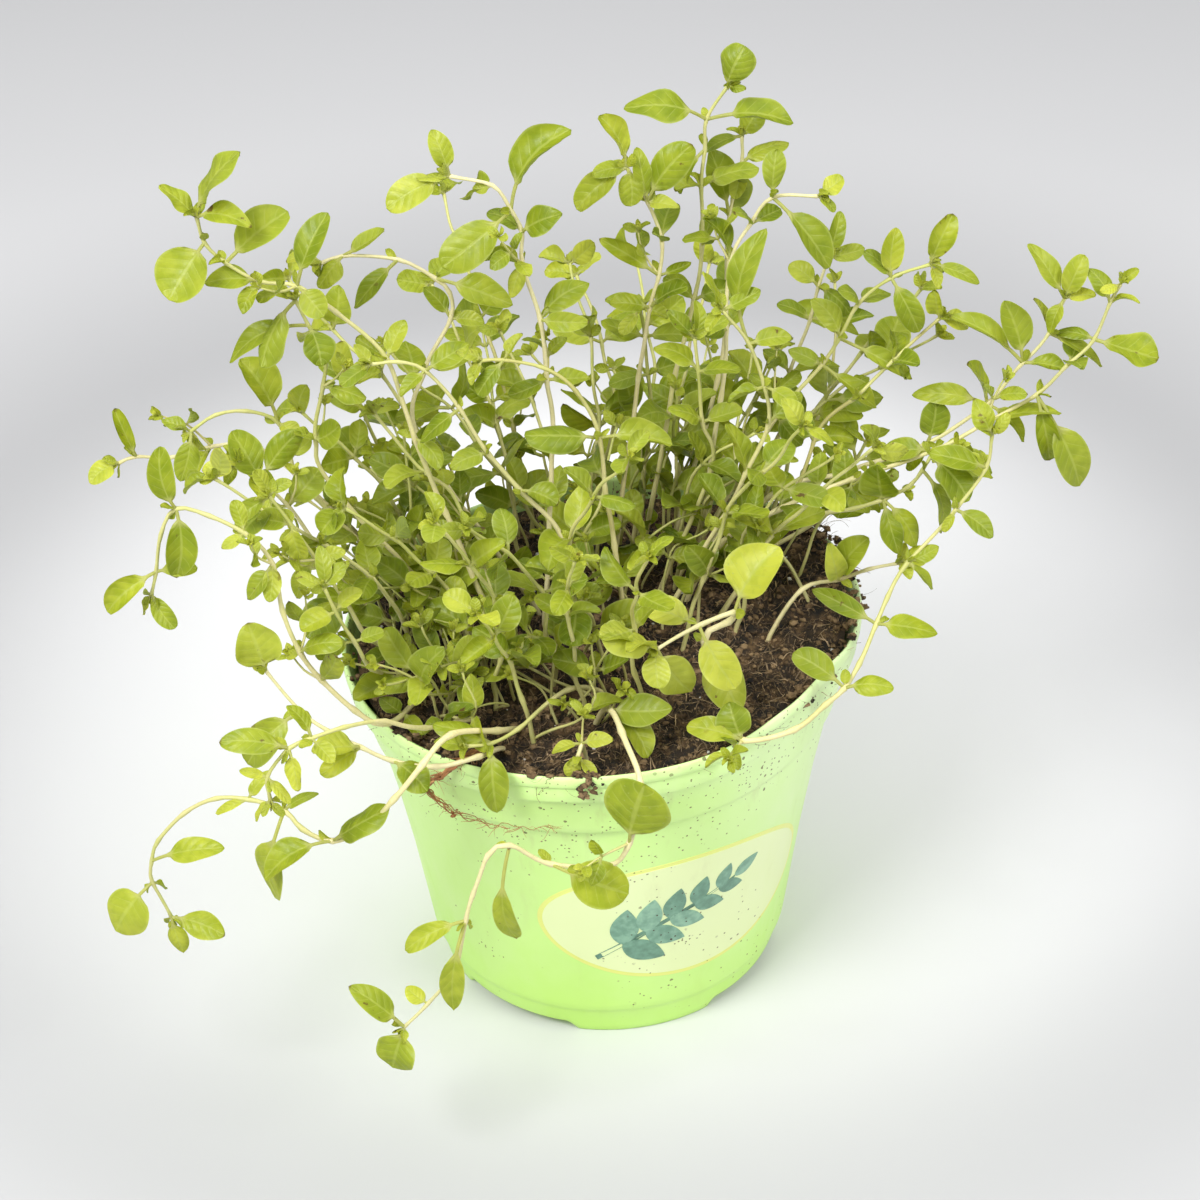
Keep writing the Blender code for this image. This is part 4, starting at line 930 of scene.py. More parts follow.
def make_label(border, panel, ink):
    """A plain oval panel with a plain drawing of a leafy twig."""
    build = Build()
    add_print(build, oval(*LABEL_HALF, LABEL_TILT), LABEL_RINGS)
    build.finish("label_border", [border], "green_plastic")
    build = Build()
    inside = (LABEL_HALF[0] - LABEL_BORDER, LABEL_HALF[1] - LABEL_BORDER)
    add_print(build, oval(*inside, LABEL_TILT), LABEL_RINGS, proud=PRINT_THICKNESS * 1.8)
    build.finish("label_panel", [panel], "green_plastic")
    build = Build()
    proud = PRINT_THICKNESS * 3
    start = np.array(TWIG_START)
    way = np.array((math.cos(TWIG_TURN), math.sin(TWIG_TURN)))
    across = np.array((-way[1], way[0]))
    stalk = np.linspace(0, 1, 30)
    bend = TWIG_BEND * np.sin(np.pi * stalk)
    line = start + way * TWIG_LENGTH * stalk[:, None] + across * bend[:, None]
    thick = (0.8 - 0.5 * stalk)[:, None] * across
    add_print(build, np.concatenate([line - thick, (line + thick)[::-1]]), 2, (0.2, 0, 0), proud)
    for pair in range(TWIG_PAIRS):
        share = 0.2 + 0.17 * pair
        spot = start + way * TWIG_LENGTH * share + across * TWIG_BEND * math.sin(math.pi * share)
        size = TWIG_LEAF * (1 - 0.1 * pair)
        for side in (1, -1):
            tone = (TWIG_TONES[(pair + (side > 0)) % len(TWIG_TONES)], 0, 0)
            outline = printed_leaf(*spot, TWIG_TURN + side * (1.0 - 0.07 * pair), size, size * 0.56)
            add_print(build, outline, 4, tone, proud * (1 + 0.12 * (pair % 2)))
    tip = start + way * TWIG_LENGTH
    add_print(build, printed_leaf(*tip, TWIG_TURN, *TWIG_TIP_LEAF), 4, (0.7, 0, 0), proud)
    build.finish("label_twig", [ink], "green_plastic")


# Peat


def soil_height(x, y):
    """The height of the peat at (x, y) without its crumbs: nearly level, heaped behind on the right."""
    edge = SOIL_EDGE + SOIL_CROWN * (1 - (x * x + y * y) / LIP_RADIUS**2)
    away = math.hypot(x - HEAP_CENTRE[0], y - HEAP_CENTRE[1]) / HEAP_SPREAD
    return edge + SOIL_HEAP * math.exp(-away * away) + lean(x, SOIL_EDGE)


def soil_relief(x, y):
    """Clods, crumbs and grains, as three sizes of noise."""
    spot = Vector((x, y, 0))
    return sum(noise.noise(spot / size + Vector(place)) * rise for size, place, rise in SOIL_RELIEF)


def soil_top(x, y):
    return soil_height(x, y) + soil_relief(x, y)


def make_soil(material):
    rings, steps = SOIL_RINGS, SOIL_STEPS
    points = [(0, 0, soil_height(0, 0))]
    for ring in range(1, rings + 1):
        radius = SOIL_RADIUS * ring / rings
        for step in range(steps):
            angle = step * math.tau / steps
            out = radius * float(pressed(angle, SOIL_EDGE))
            x, y = out * math.cos(angle), out * math.sin(angle)
            rim = min(1, (SOIL_RADIUS - radius) / 3 + 0.25)
            points.append((x, y, soil_height(x, y) + soil_relief(x, y) * rim))
    sides = [(56.8, STACKING_LINE - 0.8), (53.3, 60), (50.1, 40), (45.6, GROOVE_HEIGHT),
             (43.0, FLOOR_UNDERSIDE + WALL + GAP)]
    for radius, height in sides:
        for step in range(steps):
            angle = step * math.tau / steps
            x, y = radius * math.cos(angle), radius * math.sin(angle)
            points.append((x, y, height + float(lean(x, height))))
    points.append((0, 0, FLOOR_UNDERSIDE + WALL + GAP))
    faces = []
    for step in range(steps):
        following = (step + 1) % steps
        faces.append((0, 1 + step, 1 + following))
        for ring in range(rings + len(sides) - 1):
            a, b = 1 + ring * steps + step, 1 + ring * steps + following
            faces.append((a, a + steps, b + steps, b))
        last = 1 + (rings + len(sides) - 1) * steps
        faces.append((last + step, len(points) - 1, last + following))
    build = Build()
    build.add(points, faces)
    build.finish("peat", [material], "peat", "soil")


def lump_shape():
    """Points and faces of a rounded lump, before it is made uneven."""
    bm = bmesh.new()
    bmesh.ops.create_icosphere(bm, subdivisions=2, radius=1.0)
    points = np.array([tuple(vert.co) for vert in bm.verts])
    faces = [tuple(vert.index for vert in face.verts) for face in bm.faces]
    bm.free()
    return points, faces


LUMP_POINTS, LUMP_FACES = lump_shape()


def add_lump(build, centre, size, dice, tone, rough=0.35):
    offset = Vector([dice.uniform(0, 90) for _ in range(3)])
    swell = np.array([1 + rough * 2 * noise.noise(Vector(point) * 1.4 + offset) for point in LUMP_POINTS])
    stretch = np.array([dice.uniform(0.6, 1.3), dice.uniform(0.6, 1.3), dice.uniform(0.45, 0.9)])
    turn = np.array(Matrix.Rotation(dice.uniform(0, math.tau), 3, "Z"))
    points = (LUMP_POINTS * swell[:, None] * stretch * size) @ turn.T + np.array(centre)
    build.add(points, LUMP_FACES, 0, None, tone)


def random_spot(dice, most):
    """A place on the peat up to a distance from the middle."""
    radius, angle = most * math.sqrt(dice.random()), dice.uniform(0, math.tau)
    return radius * math.cos(angle), radius * math.sin(angle)


def make_crumbs(material):
    """Loose crumbs over the peat, and more of them along the rim."""
    dice = random.Random(CRUMB_SEED)
    build = Build()
    for _ in range(CRUMB_COUNT):
        x, y = random_spot(dice, 61)
        size = CRUMB_SIZE[0] + CRUMB_SIZE[1] * dice.random() ** 4
        height = soil_top(x, y) + size * 0.2
        add_lump(build, (x, y, height), size, dice, (dice.random(), 0, 0))
    for middle, spread, count, out in RIM_CRUMBS:
        for _ in range(count):
            angle = math.radians(dice.gauss(middle, spread))
            radius = dice.uniform(58.5, out) * float(pressed(angle, POT_HEIGHT))
            x, y = radius * math.cos(angle), radius * math.sin(angle)
            size = dice.uniform(*RIM_CRUMB_SIZE)
            on_rim = POT_HEIGHT + float(lean(x, POT_HEIGHT)) + 0.2 - max(0, radius - LIP_RADIUS + 0.4) * 2.4
            in_pot = soil_height(x, y) + dice.uniform(0, 2)
            height = max(on_rim, in_pot) if radius > RIM_START else in_pot
            add_lump(build, (x, y, height), size, dice, (dice.random(), 0, 0), 0.5)
    build.finish("peat_crumbs", [material], "peat")


def make_perlite(material):
    """A few pale grains on the peat."""
    dice = random.Random(PERLITE_SEED)
    build = Build()
    for _ in range(PERLITE_COUNT):
        x, y = random_spot(dice, 59.5)
        size = dice.uniform(*PERLITE_SIZE)
        height = soil_top(x, y) + size * 0.35
        add_lump(build, (x, y, height), size, dice, (dice.random(), 0, 0), 0.3)
    build.finish("perlite_grains", [material], "peat")


def add_fibre(build, start, heading, length, radius, dice, rise, follow, sides=4, curl=0.5):
    """A thin curved fibre that follows the peat, or runs free from where it starts."""
    count = max(4, int(length / 1.2))
    way = Vector((math.cos(heading), math.sin(heading), rise))
    route = [Vector(start)]
    for _ in range(count):
        turn = [dice.uniform(-curl, curl) for _ in range(2)] + [dice.uniform(-0.35, 0.3)]
        way = (way + Vector(turn)).normalized()
        following = route[-1] + way * length / count
        if follow:
            following.z = soil_top(following.x, following.y) + follow
        route.append(following)
    radii = radius * (1 - 0.6 * np.linspace(0, 1, len(route)))
    points, faces = tube(route, radii, sides)
    build.add(points, faces, 0, None, (dice.random(), 0, 0))


def make_fibres(material):
    """Short fibres that lie on the peat, and longer free ones along its edge."""
    dice = random.Random(FIBRE_SEED)
    build = Build()
    for _ in range(FIBRE_COUNT):
        x, y = random_spot(dice, 60)
        z = soil_top(x, y) + 0.2
        radius = FIBRE_RADIUS[0] + FIBRE_RADIUS[1] * dice.random() ** 3
        length = FIBRE_LENGTH[0] + FIBRE_LENGTH[1] * dice.random() ** 2
        add_fibre(build, (x, y, z), dice.uniform(0, math.tau), length, radius, dice,
                  dice.uniform(-0.2, 0.5), dice.uniform(0.1, 0.9), 3, 0.05)
    for _ in range(FREE_FIBRE_COUNT):
        angle = dice.choice((dice.gauss(0.3, 0.35), dice.gauss(-1.8, 0.3), dice.uniform(0, math.tau)))
        x, y = 60 * math.cos(angle), 60 * math.sin(angle)
        z = soil_height(x, y) + 1.5
        add_fibre(build, (x, y, z), angle + dice.uniform(-0.6, 0.6), dice.uniform(*FREE_FIBRE_LENGTH),
                  dice.uniform(*FINE_RADIUS), dice, dice.uniform(0.0, 0.8), 0)
    build.finish("peat_fibres", [material], "peat")


def make_loose_root(material):
    """A bundle of twisted strands over the rim, with finer side roots and a few crumbs."""
    dice = random.Random(LOOSE_ROOT_SEED)
    points = []
    for degrees, distance, height in LOOSE_ROOT:
        angle = math.radians(degrees)
        x = distance * math.cos(angle)
        points.append(Vector((x, distance * math.sin(angle), height + float(lean(x, height)))))
    route, _ = smooth_route(points, 1.0)
    build = Build()
    for strand in range(ROOT_STRANDS):
        offset = Vector((strand * 7.0, 3, 1))
        share = 1.0 if strand == 0 else dice.uniform(0.4, 0.8)
        moved = [point + noise.noise_vector(point / 3.1 + offset) * 1.5 for point in route]
        length = max(8, int(len(moved) * share))
        radii = dice.uniform(*STRAND_RADIUS) * (1 - 0.75 * np.linspace(0, 1, length) ** 1.2)
        shape, faces = tube(moved[:length], radii, 5)
        build.add(shape, faces, 0, None, (dice.random(), 0, 0))
    for _ in range(SIDE_ROOTS):
        spot = dice.random() ** 1.3
        start = route[int(3 + spot * (len(route) - 5))] + Vector([dice.uniform(-0.5, 0.5) for _ in range(3)])
        heading = math.atan2(start.y, start.x) + dice.choice((-1, 1)) * dice.uniform(0.9, 1.9)
        add_fibre(build, start, heading, dice.uniform(*SIDE_ROOT_LENGTH), dice.uniform(*FINE_RADIUS), dice,
                  dice.uniform(-0.7, 0.3), 0, 3)
    for _ in range(ROOT_CRUMBS):
        spot = route[dice.randrange(3, int(len(route) * 0.6))]
        place = spot + Vector([dice.uniform(-0.9, 0.9) for _ in range(3)])
        add_lump(build, place, dice.uniform(0.15, 0.5), dice, (dice.random() * 0.4, 0, 0), 0.5)
    build.finish("root_thread", [material], "dry_root", "loose_root")


# Plant


def root_of(x, y):
    return Vector((x, y, soil_height(x, y) + GAP))


def table_sprigs():
    """(name, joints, leaves at each joint) of each sprig in the table."""
    for name, rows in SPRIGS.items():
        joints = [root_of(*rows[0])] + [Vector(row[:3]) for row in rows[1:]]
        leaves = [[]] + [[(Vector(leaf[:3]), leaf[3] if len(leaf) > 3 else LEAF_WIDTH) for leaf in row[3:]]
                         for row in rows[1:]]
        yield "sprig_" + name, joints, leaves


def inner_sprigs():
    """Inner shoots: leaf pairs, each turned a quarter from the last, grow up an arching stem."""
    dice = random.Random(INNER_SEED)
    made = 0
    for step in range(1, INNER_STEPS + 1):
        spread = INNER_RADIUS[0] + (INNER_RADIUS[1] - INNER_RADIUS[0]) * math.sqrt(step / INNER_STEPS)
        angle = step * GOLDEN_ANGLE
        x, y = spread * math.cos(angle), spread * math.sin(angle)
        crowded = any(math.dist((x, y), rows[0]) < ROOT_SPACING for rows in SPRIGS.values())
        if crowded or (x > BARE_CORNER[0] and y < BARE_CORNER[1]):
            continue
        made += 1
        outward = Vector((math.cos(angle), math.sin(angle), 0))
        share = spread / INNER_RADIUS[1]
        height = dice.uniform(*INNER_HEIGHT) + MIDDLE_GAIN * (1 - share) + BACK_GAIN * max(y, 0)
        lean_out = height * (INNER_LEAN[0] + INNER_LEAN[1] * share) * (FRONT_LEAN if y < FRONT_STRIP else 1)
        root = root_of(x, y)
        sideways = Vector((-outward.y, outward.x, 0)) * dice.uniform(-INNER_BEND, INNER_BEND) * height
        middle = root + Vector((0, 0, 0.55 * height)) + outward * 0.3 * lean_out + sideways
        tip = root + Vector((0, 0, height)) + outward * lean_out + sideways * dice.uniform(-1, 2)
        route, _ = smooth_route([root, middle, tip], JOINT_SPACING)
        quarter = dice.uniform(0, math.pi)
        leaves = []
        for index, joint in enumerate(route):
            pair = []
            if index > 1:
                along = (joint - route[index - 1]).normalized()
                side = along.orthogonal().normalized()
                side.rotate(Matrix.Rotation(quarter + index * math.pi / 2, 3, along))
                length = dice.uniform(*INNER_LEAF) * (0.75 if index == len(route) - 1 else 1)
                for sign in (1, -1):
                    reach = (along * math.cos(SPREAD_ANGLE) + side * (sign * math.sin(SPREAD_ANGLE))) * length
                    pair.append((reach, dice.uniform(*INNER_LEAF_WIDTH)))
            leaves.append(pair)
        yield f"sprig_inner_{made:02d}", route, leaves


def add_side_shoot(build, here, way, side, dice, length):
    """A short leafy branch from a leaf joint."""
    reach = (way * dice.uniform(0.5, 1.1) + side * dice.uniform(0.5, 1.0) + LIGHT * 0.35).normalized()
    tip = here + reach * length
    middle = here.lerp(tip, 0.5) + side * length * 0.1
    route, _ = smooth_route([here, middle, tip], STEM_STEP * 0.8)
    moved = add_stem(build, route, [0], *SIDE_SHOOT_RADII, dice, SHOOT_SIDES)
    turn = dice.uniform(0, math.tau)
    for order, index in enumerate(range(len(moved) - 1, 2, -3)):
        heading = (moved[index] - moved[index - 1]).normalized()
        if order == 0:
            add_tip(build, moved[index], heading, dice, dice.uniform(3.5, 5), turn)
        else:
            add_pair(build, moved[index], heading, turn + order * math.pi / 2, dice, (0.3, 0.8), 0.2,
                     (5, 8.5), (0.45, 0.65), (0.15, 0.6), SMALL_GRID)


def make_sprig(name, joints, leaves, materials, grid, dice, radius, young, sway):
    """A stem with the leaves of its joints, and the young growth that comes with them."""
    build = Build()
    down = (joints[0] - joints[1]).normalized() * 0.4 + Vector((0, 0, -1))
    joints = [joints[0] + down * STEM_FOOT, *joints]
    leaves = [[], *leaves]
    route, indices = smooth_route(joints, STEM_STEP)
    moved = add_stem(build, route, indices[1:], radius, TIP_RADIUS, dice)
    turn = dice.uniform(0, math.tau)
    for order, index in enumerate(range(indices[1] + 8, indices[2] - 3, LOW_LEAF_SPACING)):
        way = (moved[index] - moved[index - 1]).normalized()
        add_pair(build, moved[index], way, turn + order * math.pi / 2, dice, 0.5, 0.3,
                 (6, 12), (0.45, 0.65), (0.4, 0.9), SMALL_GRID)
    for order, (index, joint_leaves) in enumerate(zip(indices, leaves)):
        here = moved[index]
        way = (here - moved[index - 1]).normalized()
        quarter = turn + order * math.pi / 2
        if not joint_leaves:
            if order > 2 and name in LEAFY_SPRIGS:
                add_pair(build, here, way, quarter, dice, 0.4, 0.3,
                         (8, 12), (0.42, 0.6), (0.5, 0.9), grid, sway=sway)
            continue
        # Younger leaves are paler; on the low hanging sprigs this is partly painted light against shade
        # above.
        age = 0.6 - (0.2 + young * 1.5) * order / len(leaves)
        for reach, width in joint_leaves:
            own = min(1, max(0, age + dice.uniform(-0.25, 0.25) - (0.2 if reach.length < 9 else 0)))
            add_leaf(build, here, reach, reach.length * width * HERO_WIDTH, dice, own, grid, sway)
        if index == indices[-1]:
            add_tip(build, here, way, dice, TIP_SIZE, turn)
        else:
            add_axil_leaves(build, here, way, dice, quarter)
            if dice.random() < SIDE_SHOOT_CHANCE and order < 0.6 * len(leaves):
                side = dice.choice(side_ways(way, quarter))
                add_side_shoot(build, here, way, side, dice, dice.uniform(8, 16))
    build.finish(name, materials, "leaf_green", name)


def add_shoot(build, dice, root, height, lean_out, across):
    """A thin shoot from the peat, with leaf pairs down to a fifth of its length."""
    middle = root + Vector((0, 0, height * 0.55)) + (lean_out * 0.25 + across) * height
    tip = root + Vector((0, 0, height * dice.uniform(0.75, 1))) + (lean_out + across) * height
    route, indices = smooth_route([root - Vector((0, 0, STEM_FOOT / 2)), root, middle, tip], STEM_STEP)
    thick = 0.32 + height * 0.004
    moved = add_stem(build, route, indices[2:], thick, thick * 0.6, dice, SHOOT_SIDES)
    turn = dice.uniform(0, math.tau)
    spacing = dice.choice((5, 6, 7))
    for order, index in enumerate(range(len(moved) - 1, 3 + len(moved) // 5, -spacing)):
        way = (moved[index] - moved[index - 1]).normalized()
        if order == 0:
            add_tip(build, moved[index], way, dice, dice.uniform(3.5, 5.5), turn)
        else:
            add_pair(build, moved[index], way, turn + order * math.pi / 2, dice, (0.2, 0.7), 0.25,
                     SHOOT_LEAF, (0.44, 0.62), (0.2, 0.8), SMALL_GRID, INNER_GRID)


def make_shoots(materials):
    """Young shoots, many to a piece, that crowd the peat between the sprigs on thin, crossing stems."""
    dice = random.Random(SHOOT_SEED)
    for group in range(SHOOT_GROUPS):
        build = Build()
        made = 0
        while made < SHOOTS_IN_GROUP:
            x, y = random_spot(dice, SHOOT_RADIUS)
            bare = x > BARE_CORNER[0] - SHOOT_MARGIN and y < BARE_CORNER[1] + SHOOT_MARGIN
            if bare or y < SHOOT_EDGE:
                continue
            made += 1
            height = dice.uniform(*SHOOT_HEIGHT) * (LOW_IN_FRONT if y < FRONT_LINE else 1)
            aside = Vector([dice.uniform(-0.9, 0.9), dice.uniform(-0.9, 0.9), 0])
            outward = Vector((x, y, 0)) / SHOOT_RADIUS + aside
            across = Vector((-outward.y, outward.x, 0)) * dice.uniform(-0.35, 0.35)
            add_shoot(build, dice, root_of(x, y), height, outward * 0.5, across)
        build.finish(f"young_shoots_{group + 1}", materials, "leaf_green")


def make_low_shoots(materials):
    """Low shoots along the left and front edge of the peat, which bow outwards and along the rim."""
    dice = random.Random(LOW_SHOOT_SEED)
    for group in range(LOW_GROUPS):
        build = Build()
        for _ in range(LOW_SHOOTS_IN_GROUP):
            angle = math.radians(dice.uniform(*LOW_ARC))
            radius = dice.uniform(*LOW_RADIUS)
            outward = Vector((math.cos(angle), math.sin(angle), 0))
            along = Vector((-outward.y, outward.x, 0))
            across = along * dice.uniform(-0.9, 0.9)
            root = root_of(radius * outward.x, radius * outward.y)
            add_shoot(build, dice, root, dice.uniform(*LOW_HEIGHT), outward * dice.uniform(-0.2, 0.9), across)
        build.finish(f"low_shoots_{group + 1}", materials, "leaf_green")


# Materials


class Graph:
    """A material's node tree, with short calls for the nodes that these materials share."""

    def __init__(self, name):
        self.material = bpy.data.materials.new(name)
        self.material.use_nodes = True
        self.tree = self.material.node_tree
        self.shader = self.tree.nodes["Principled BSDF"]

    def node(self, kind, inputs=(), **settings):
        made = self.tree.nodes.new(kind)
        for key, value in settings.items():
            setattr(made, key, value)
        for key, value in dict(inputs).items():
            self.set(made.inputs[key], value)
        return made

    def set(self, socket, value):
        if isinstance(value, bpy.types.NodeSocket):
            self.tree.links.new(value, socket)
        else:
            socket.default_value = value

    def math(self, operation, a, b=0.0, clamp=False):
        made = self.node("ShaderNodeMath", {0: a, 1: b}, operation=operation, use_clamp=clamp)
        return made.outputs[0]

    def times(self, a, b):
        return self.math("MULTIPLY", a, b)

    def plus(self, a, b, clamp=False):
        return self.math("ADD", a, b, clamp)

    def mix(self, share, a, b, blend="MIX"):
        made = self.node("ShaderNodeMix", {0: share, 6: colour(a), 7: colour(b)}, data_type="RGBA",
                         blend_type=blend)
        return made.outputs[2]

    def fit(self, value, low, high, to_low=0.0, to_high=1.0):
        """The value taken smoothly from one range to another."""
        made = self.node("ShaderNodeMapRange", {0: value, 1: low, 2: high, 3: to_low, 4: to_high},
                         interpolation_type="SMOOTHSTEP")
        return made.outputs[0]

    def spread(self, value, low, high):
        """The usual range of a noise, taken to another range."""
        return self.fit(value, *NOISE_RANGE, low, high)

    def noise(self, scale, detail=3.0, vector=None, rough=0.5):
        inputs = {"Scale": scale, "Detail": detail, "Roughness": rough}
        if vector is not None:
            inputs["Vector"] = vector
        return self.node("ShaderNodeTexNoise", inputs).outputs["Fac"]

    def position(self):
        return self.node("ShaderNodeTexCoord").outputs["Object"]

    def attribute(self, name):
        return self.node("ShaderNodeAttribute", attribute_name=name).outputs["Vector"]

    def split(self, vector):
        return self.node("ShaderNodeSeparateXYZ", {0: vector}).outputs

    def ramp(self, value, stops):
        made = self.node("ShaderNodeValToRGB", {0: value})
        ends = made.color_ramp.elements
        while len(ends) < len(stops):
            ends.new(1.0)
        for element, (place, tint) in zip(ends, stops):
            element.position = place
            element.color = (*tint, 1)
        return made.outputs[0]

    def bump(self, height, strength, distance):
        inputs = {"Height": height, "Strength": strength, "Distance": distance}
        return self.node("ShaderNodeBump", inputs).outputs[0]

    def surface(self, tint, rough, normal):
        for name, value in (("Base Color", tint), ("Roughness", rough), ("Normal", normal)):
            self.set(self.shader.inputs[name], value)
        return self.material


def colour(value):
    return value if isinstance(value, bpy.types.NodeSocket) else (*value, 1)


def leaf_material():
    """Leaf: green by age, paler veins and underside, brown flecks, light coming through."""
    g = Graph("leaf")
    along, across, side = g.split(g.attribute("place"))
    age, chance, blemish = g.split(g.attribute("tone"))
    across = g.math("ABSOLUTE", across)
    spot = g.position()
    aged = g.plus(age, g.spread(g.noise(260.0, 4.0, spot), -0.14, 0.14), True)
    green = g.mix(g.times(chance, 0.35), g.ramp(aged, LEAF_GREENS), LEAF_DRIFT)
    midrib = g.fit(across, 0.03, 0.11, 1.0, 0.0)
    waves = g.math("SUBTRACT", g.times(along, VEIN_PAIRS), g.times(across, VEIN_SLANT))
    between = g.math("PINGPONG", waves, 0.5)
    lines = g.times(g.fit(between, 0.0, 0.09, 1.0, 0.0), g.fit(across, 0.6, 0.95, 1.0, 0.0))
    veins = g.math("MAXIMUM", g.times(midrib, 0.5), g.times(lines, 0.32))
    green = g.mix(veins, green, LEAF_VEIN)
    green = g.mix(g.fit(side, -0.2, 0.2, 0.4, 0.0), green, LEAF_UNDERSIDE)
    green = g.mix(g.fit(across, 0.86, 1.0, 0.0, 0.45), green, LEAF_EDGE)
    green = g.mix(g.fit(along, -0.02, 0.12, 0.8, 0.0), green, LEAF_STALK)
    worn = g.times(g.fit(g.noise(340.0, 4.0, spot), 0.66, 0.71), g.fit(blemish, 0.45, 0.9, 0.0, 0.85))
    tips = g.times(g.fit(along, 0.95, 1.0), g.fit(blemish, 0.55, 0.9, 0.0, 0.8))
    green = g.mix(g.math("MAXIMUM", worn, tips), green, LEAF_BROWN)
    fine = g.noise(1500.0, 2.0, spot)
    relief = g.math("SUBTRACT", g.times(fine, 0.3), g.times(veins, 0.8))
    relief = g.plus(relief, g.times(g.fit(between, 0.0, 0.5), 0.6))
    normal = g.bump(relief, 0.4, 0.0003)
    g.surface(green, g.spread(fine, 0.29, 0.44), normal)
    g.shader.inputs["Specular IOR Level"].default_value = LEAF_SPECULAR
    glow = g.mix(1.0, green, LEAF_GLOW, "MULTIPLY")
    through = g.node("ShaderNodeBsdfTranslucent", {"Color": glow, "Normal": normal})
    both = g.node("ShaderNodeMixShader", {0: LEAF_THROUGH, 1: g.shader.outputs[0], 2: through.outputs[0]})
    g.set(g.tree.nodes["Material Output"].inputs[0], both.outputs[0])
    return g.material


def stem_material():
    """Stem: cream at the foot, greener above, some of them flushed brown, finely ribbed."""
    g = Graph("stem")
    along = g.split(g.attribute("place"))[0]
    chance, flush = g.split(g.attribute("tone"))[:2]
    spot = g.position()
    patches = g.noise(90.0, 3.0, spot)
    tint = g.ramp(g.plus(along, g.spread(patches, -0.2, 0.2), True), STEM_TINTS)
    tint = g.mix(g.fit(chance, 0.3, 1.0, 0.0, 0.7), tint, STEM_PALE)
    reddish = g.times(g.fit(flush, 0.6, 1.0, 0.0, 0.6), g.fit(patches, 0.42, 0.62))
    tint = g.mix(reddish, tint, STEM_FLUSH)
    fine = g.noise(1100.0, 3.0, spot)
    tint = g.mix(g.fit(fine, 0.35, 0.75, 0.0, 0.2), tint, STEM_RIBS)
    g.shader.inputs["Subsurface Weight"].default_value = 0.1
    g.shader.inputs["Subsurface Radius"].default_value = STEM_GLOW_DEPTH
    return g.surface(tint, g.spread(fine, 0.4, 0.6), g.bump(fine, 0.25, 0.0003))


def dirt(g, spot):
    """How much soil clings to each place: grains, smears and larger specks, in drifts towards the rim."""
    height = g.split(spot)[2]
    drift = g.noise(26.0, 4.0, spot, 0.6)
    near_rim = g.fit(height, 0.05, 0.096, 0.0, 0.13)
    usual = g.plus(g.times(drift, 0.62), near_rim)
    torn = g.noise(900.0, 2.0, spot)
    specks = []
    for scale, rare, small in DIRT_SIZES:
        cells = g.node("ShaderNodeTexVoronoi", {"Vector": spot, "Scale": scale, "Randomness": 1.0})
        chance = g.split(cells.outputs["Color"])[0]
        reach = g.plus(g.times(chance, 0.22), g.spread(torn, small - 0.1, small + 0.05))
        inside = g.math("SUBTRACT", reach, cells.outputs["Distance"])
        odds = g.plus(usual, g.times(chance, 0.55))
        specks.append(g.times(g.fit(inside, 0.0, 0.04), g.fit(odds, rare - 0.02, rare + 0.02)))
    return g.math("MAXIMUM", g.math("MAXIMUM", specks[0], specks[1]), specks[2]), drift


def plastic_material(name, tint, paler):
    """Thin satin plastic, dusty near the rim, with soil specks; painted light pales it up the wall and to the
    right.
    """
    g = Graph(name)
    spot = g.position()
    rightward, _, height = g.split(spot)
    specks, drift = dirt(g, spot)
    wiped = g.node("ShaderNodeMapping", {0: spot, 3: (1.0, 1.0, 0.25)}).outputs[0]
    scuffs = g.noise(150.0, 5.0, wiped, 0.65)
    dusty = g.times(g.fit(height, 0.086, 0.0935, 0.0, 0.3), g.fit(scuffs, 0.3, 0.62, 0.2, 1.0))
    # Random drift in tone, plus painted light: the wall painted darker low down and paler higher up.
    drift_and_painted_light = g.plus(g.fit(drift, 0.35, 0.7, 0.0, 0.15), g.fit(height, 0.0, 0.055, 0.0, 0.24))
    # Painted sheen: the right side of the wall painted paler, as if lit from the right.
    painted_sheen_right = g.times(g.fit(rightward, 0.01, 0.06, 0.0, 0.46), g.fit(height, 0.01, 0.07))
    shade = g.mix(g.plus(drift_and_painted_light, painted_sheen_right, True), tint, paler)
    shade = g.mix(dusty, shade, paler)
    film = g.times(g.fit(scuffs, 0.55, 0.75), g.fit(height, 0.03, 0.1, 0.05, 0.3))
    shade = g.mix(film, shade, POT_FILM)
    shade = g.mix(g.times(specks, 0.8), shade, POT_DIRT)
    rough = g.plus(g.spread(scuffs, 0.34, 0.5), g.times(g.math("MAXIMUM", specks, dusty), 0.35), True)
    ripples = g.noise(22.0, 2.0, wiped)
    relief = g.plus(g.plus(g.times(specks, 0.5), g.times(scuffs, 0.06)), g.times(ripples, 0.5))
    g.shader.inputs["Specular IOR Level"].default_value = 0.45
    return g.surface(shade, rough, g.bump(relief, 0.35, 0.0005))


def ink_material():
    """Flat blue-green print, mottled like a coarse raster, with the same specks as the pot."""
    g = Graph("twig_print")
    spot = g.position()
    tone = g.split(g.attribute("tone"))[0]
    blot = g.noise(420.0, 4.0, spot)
    tint = g.ramp(g.plus(tone, g.spread(blot, -0.25, 0.25), True), INK_TINTS)
    g.set(g.shader.inputs["Base Color"], g.mix(dirt(g, spot)[0], tint, INK_DIRT))
    g.set(g.shader.inputs["Roughness"], g.spread(blot, 0.4, 0.5))
    return g.material


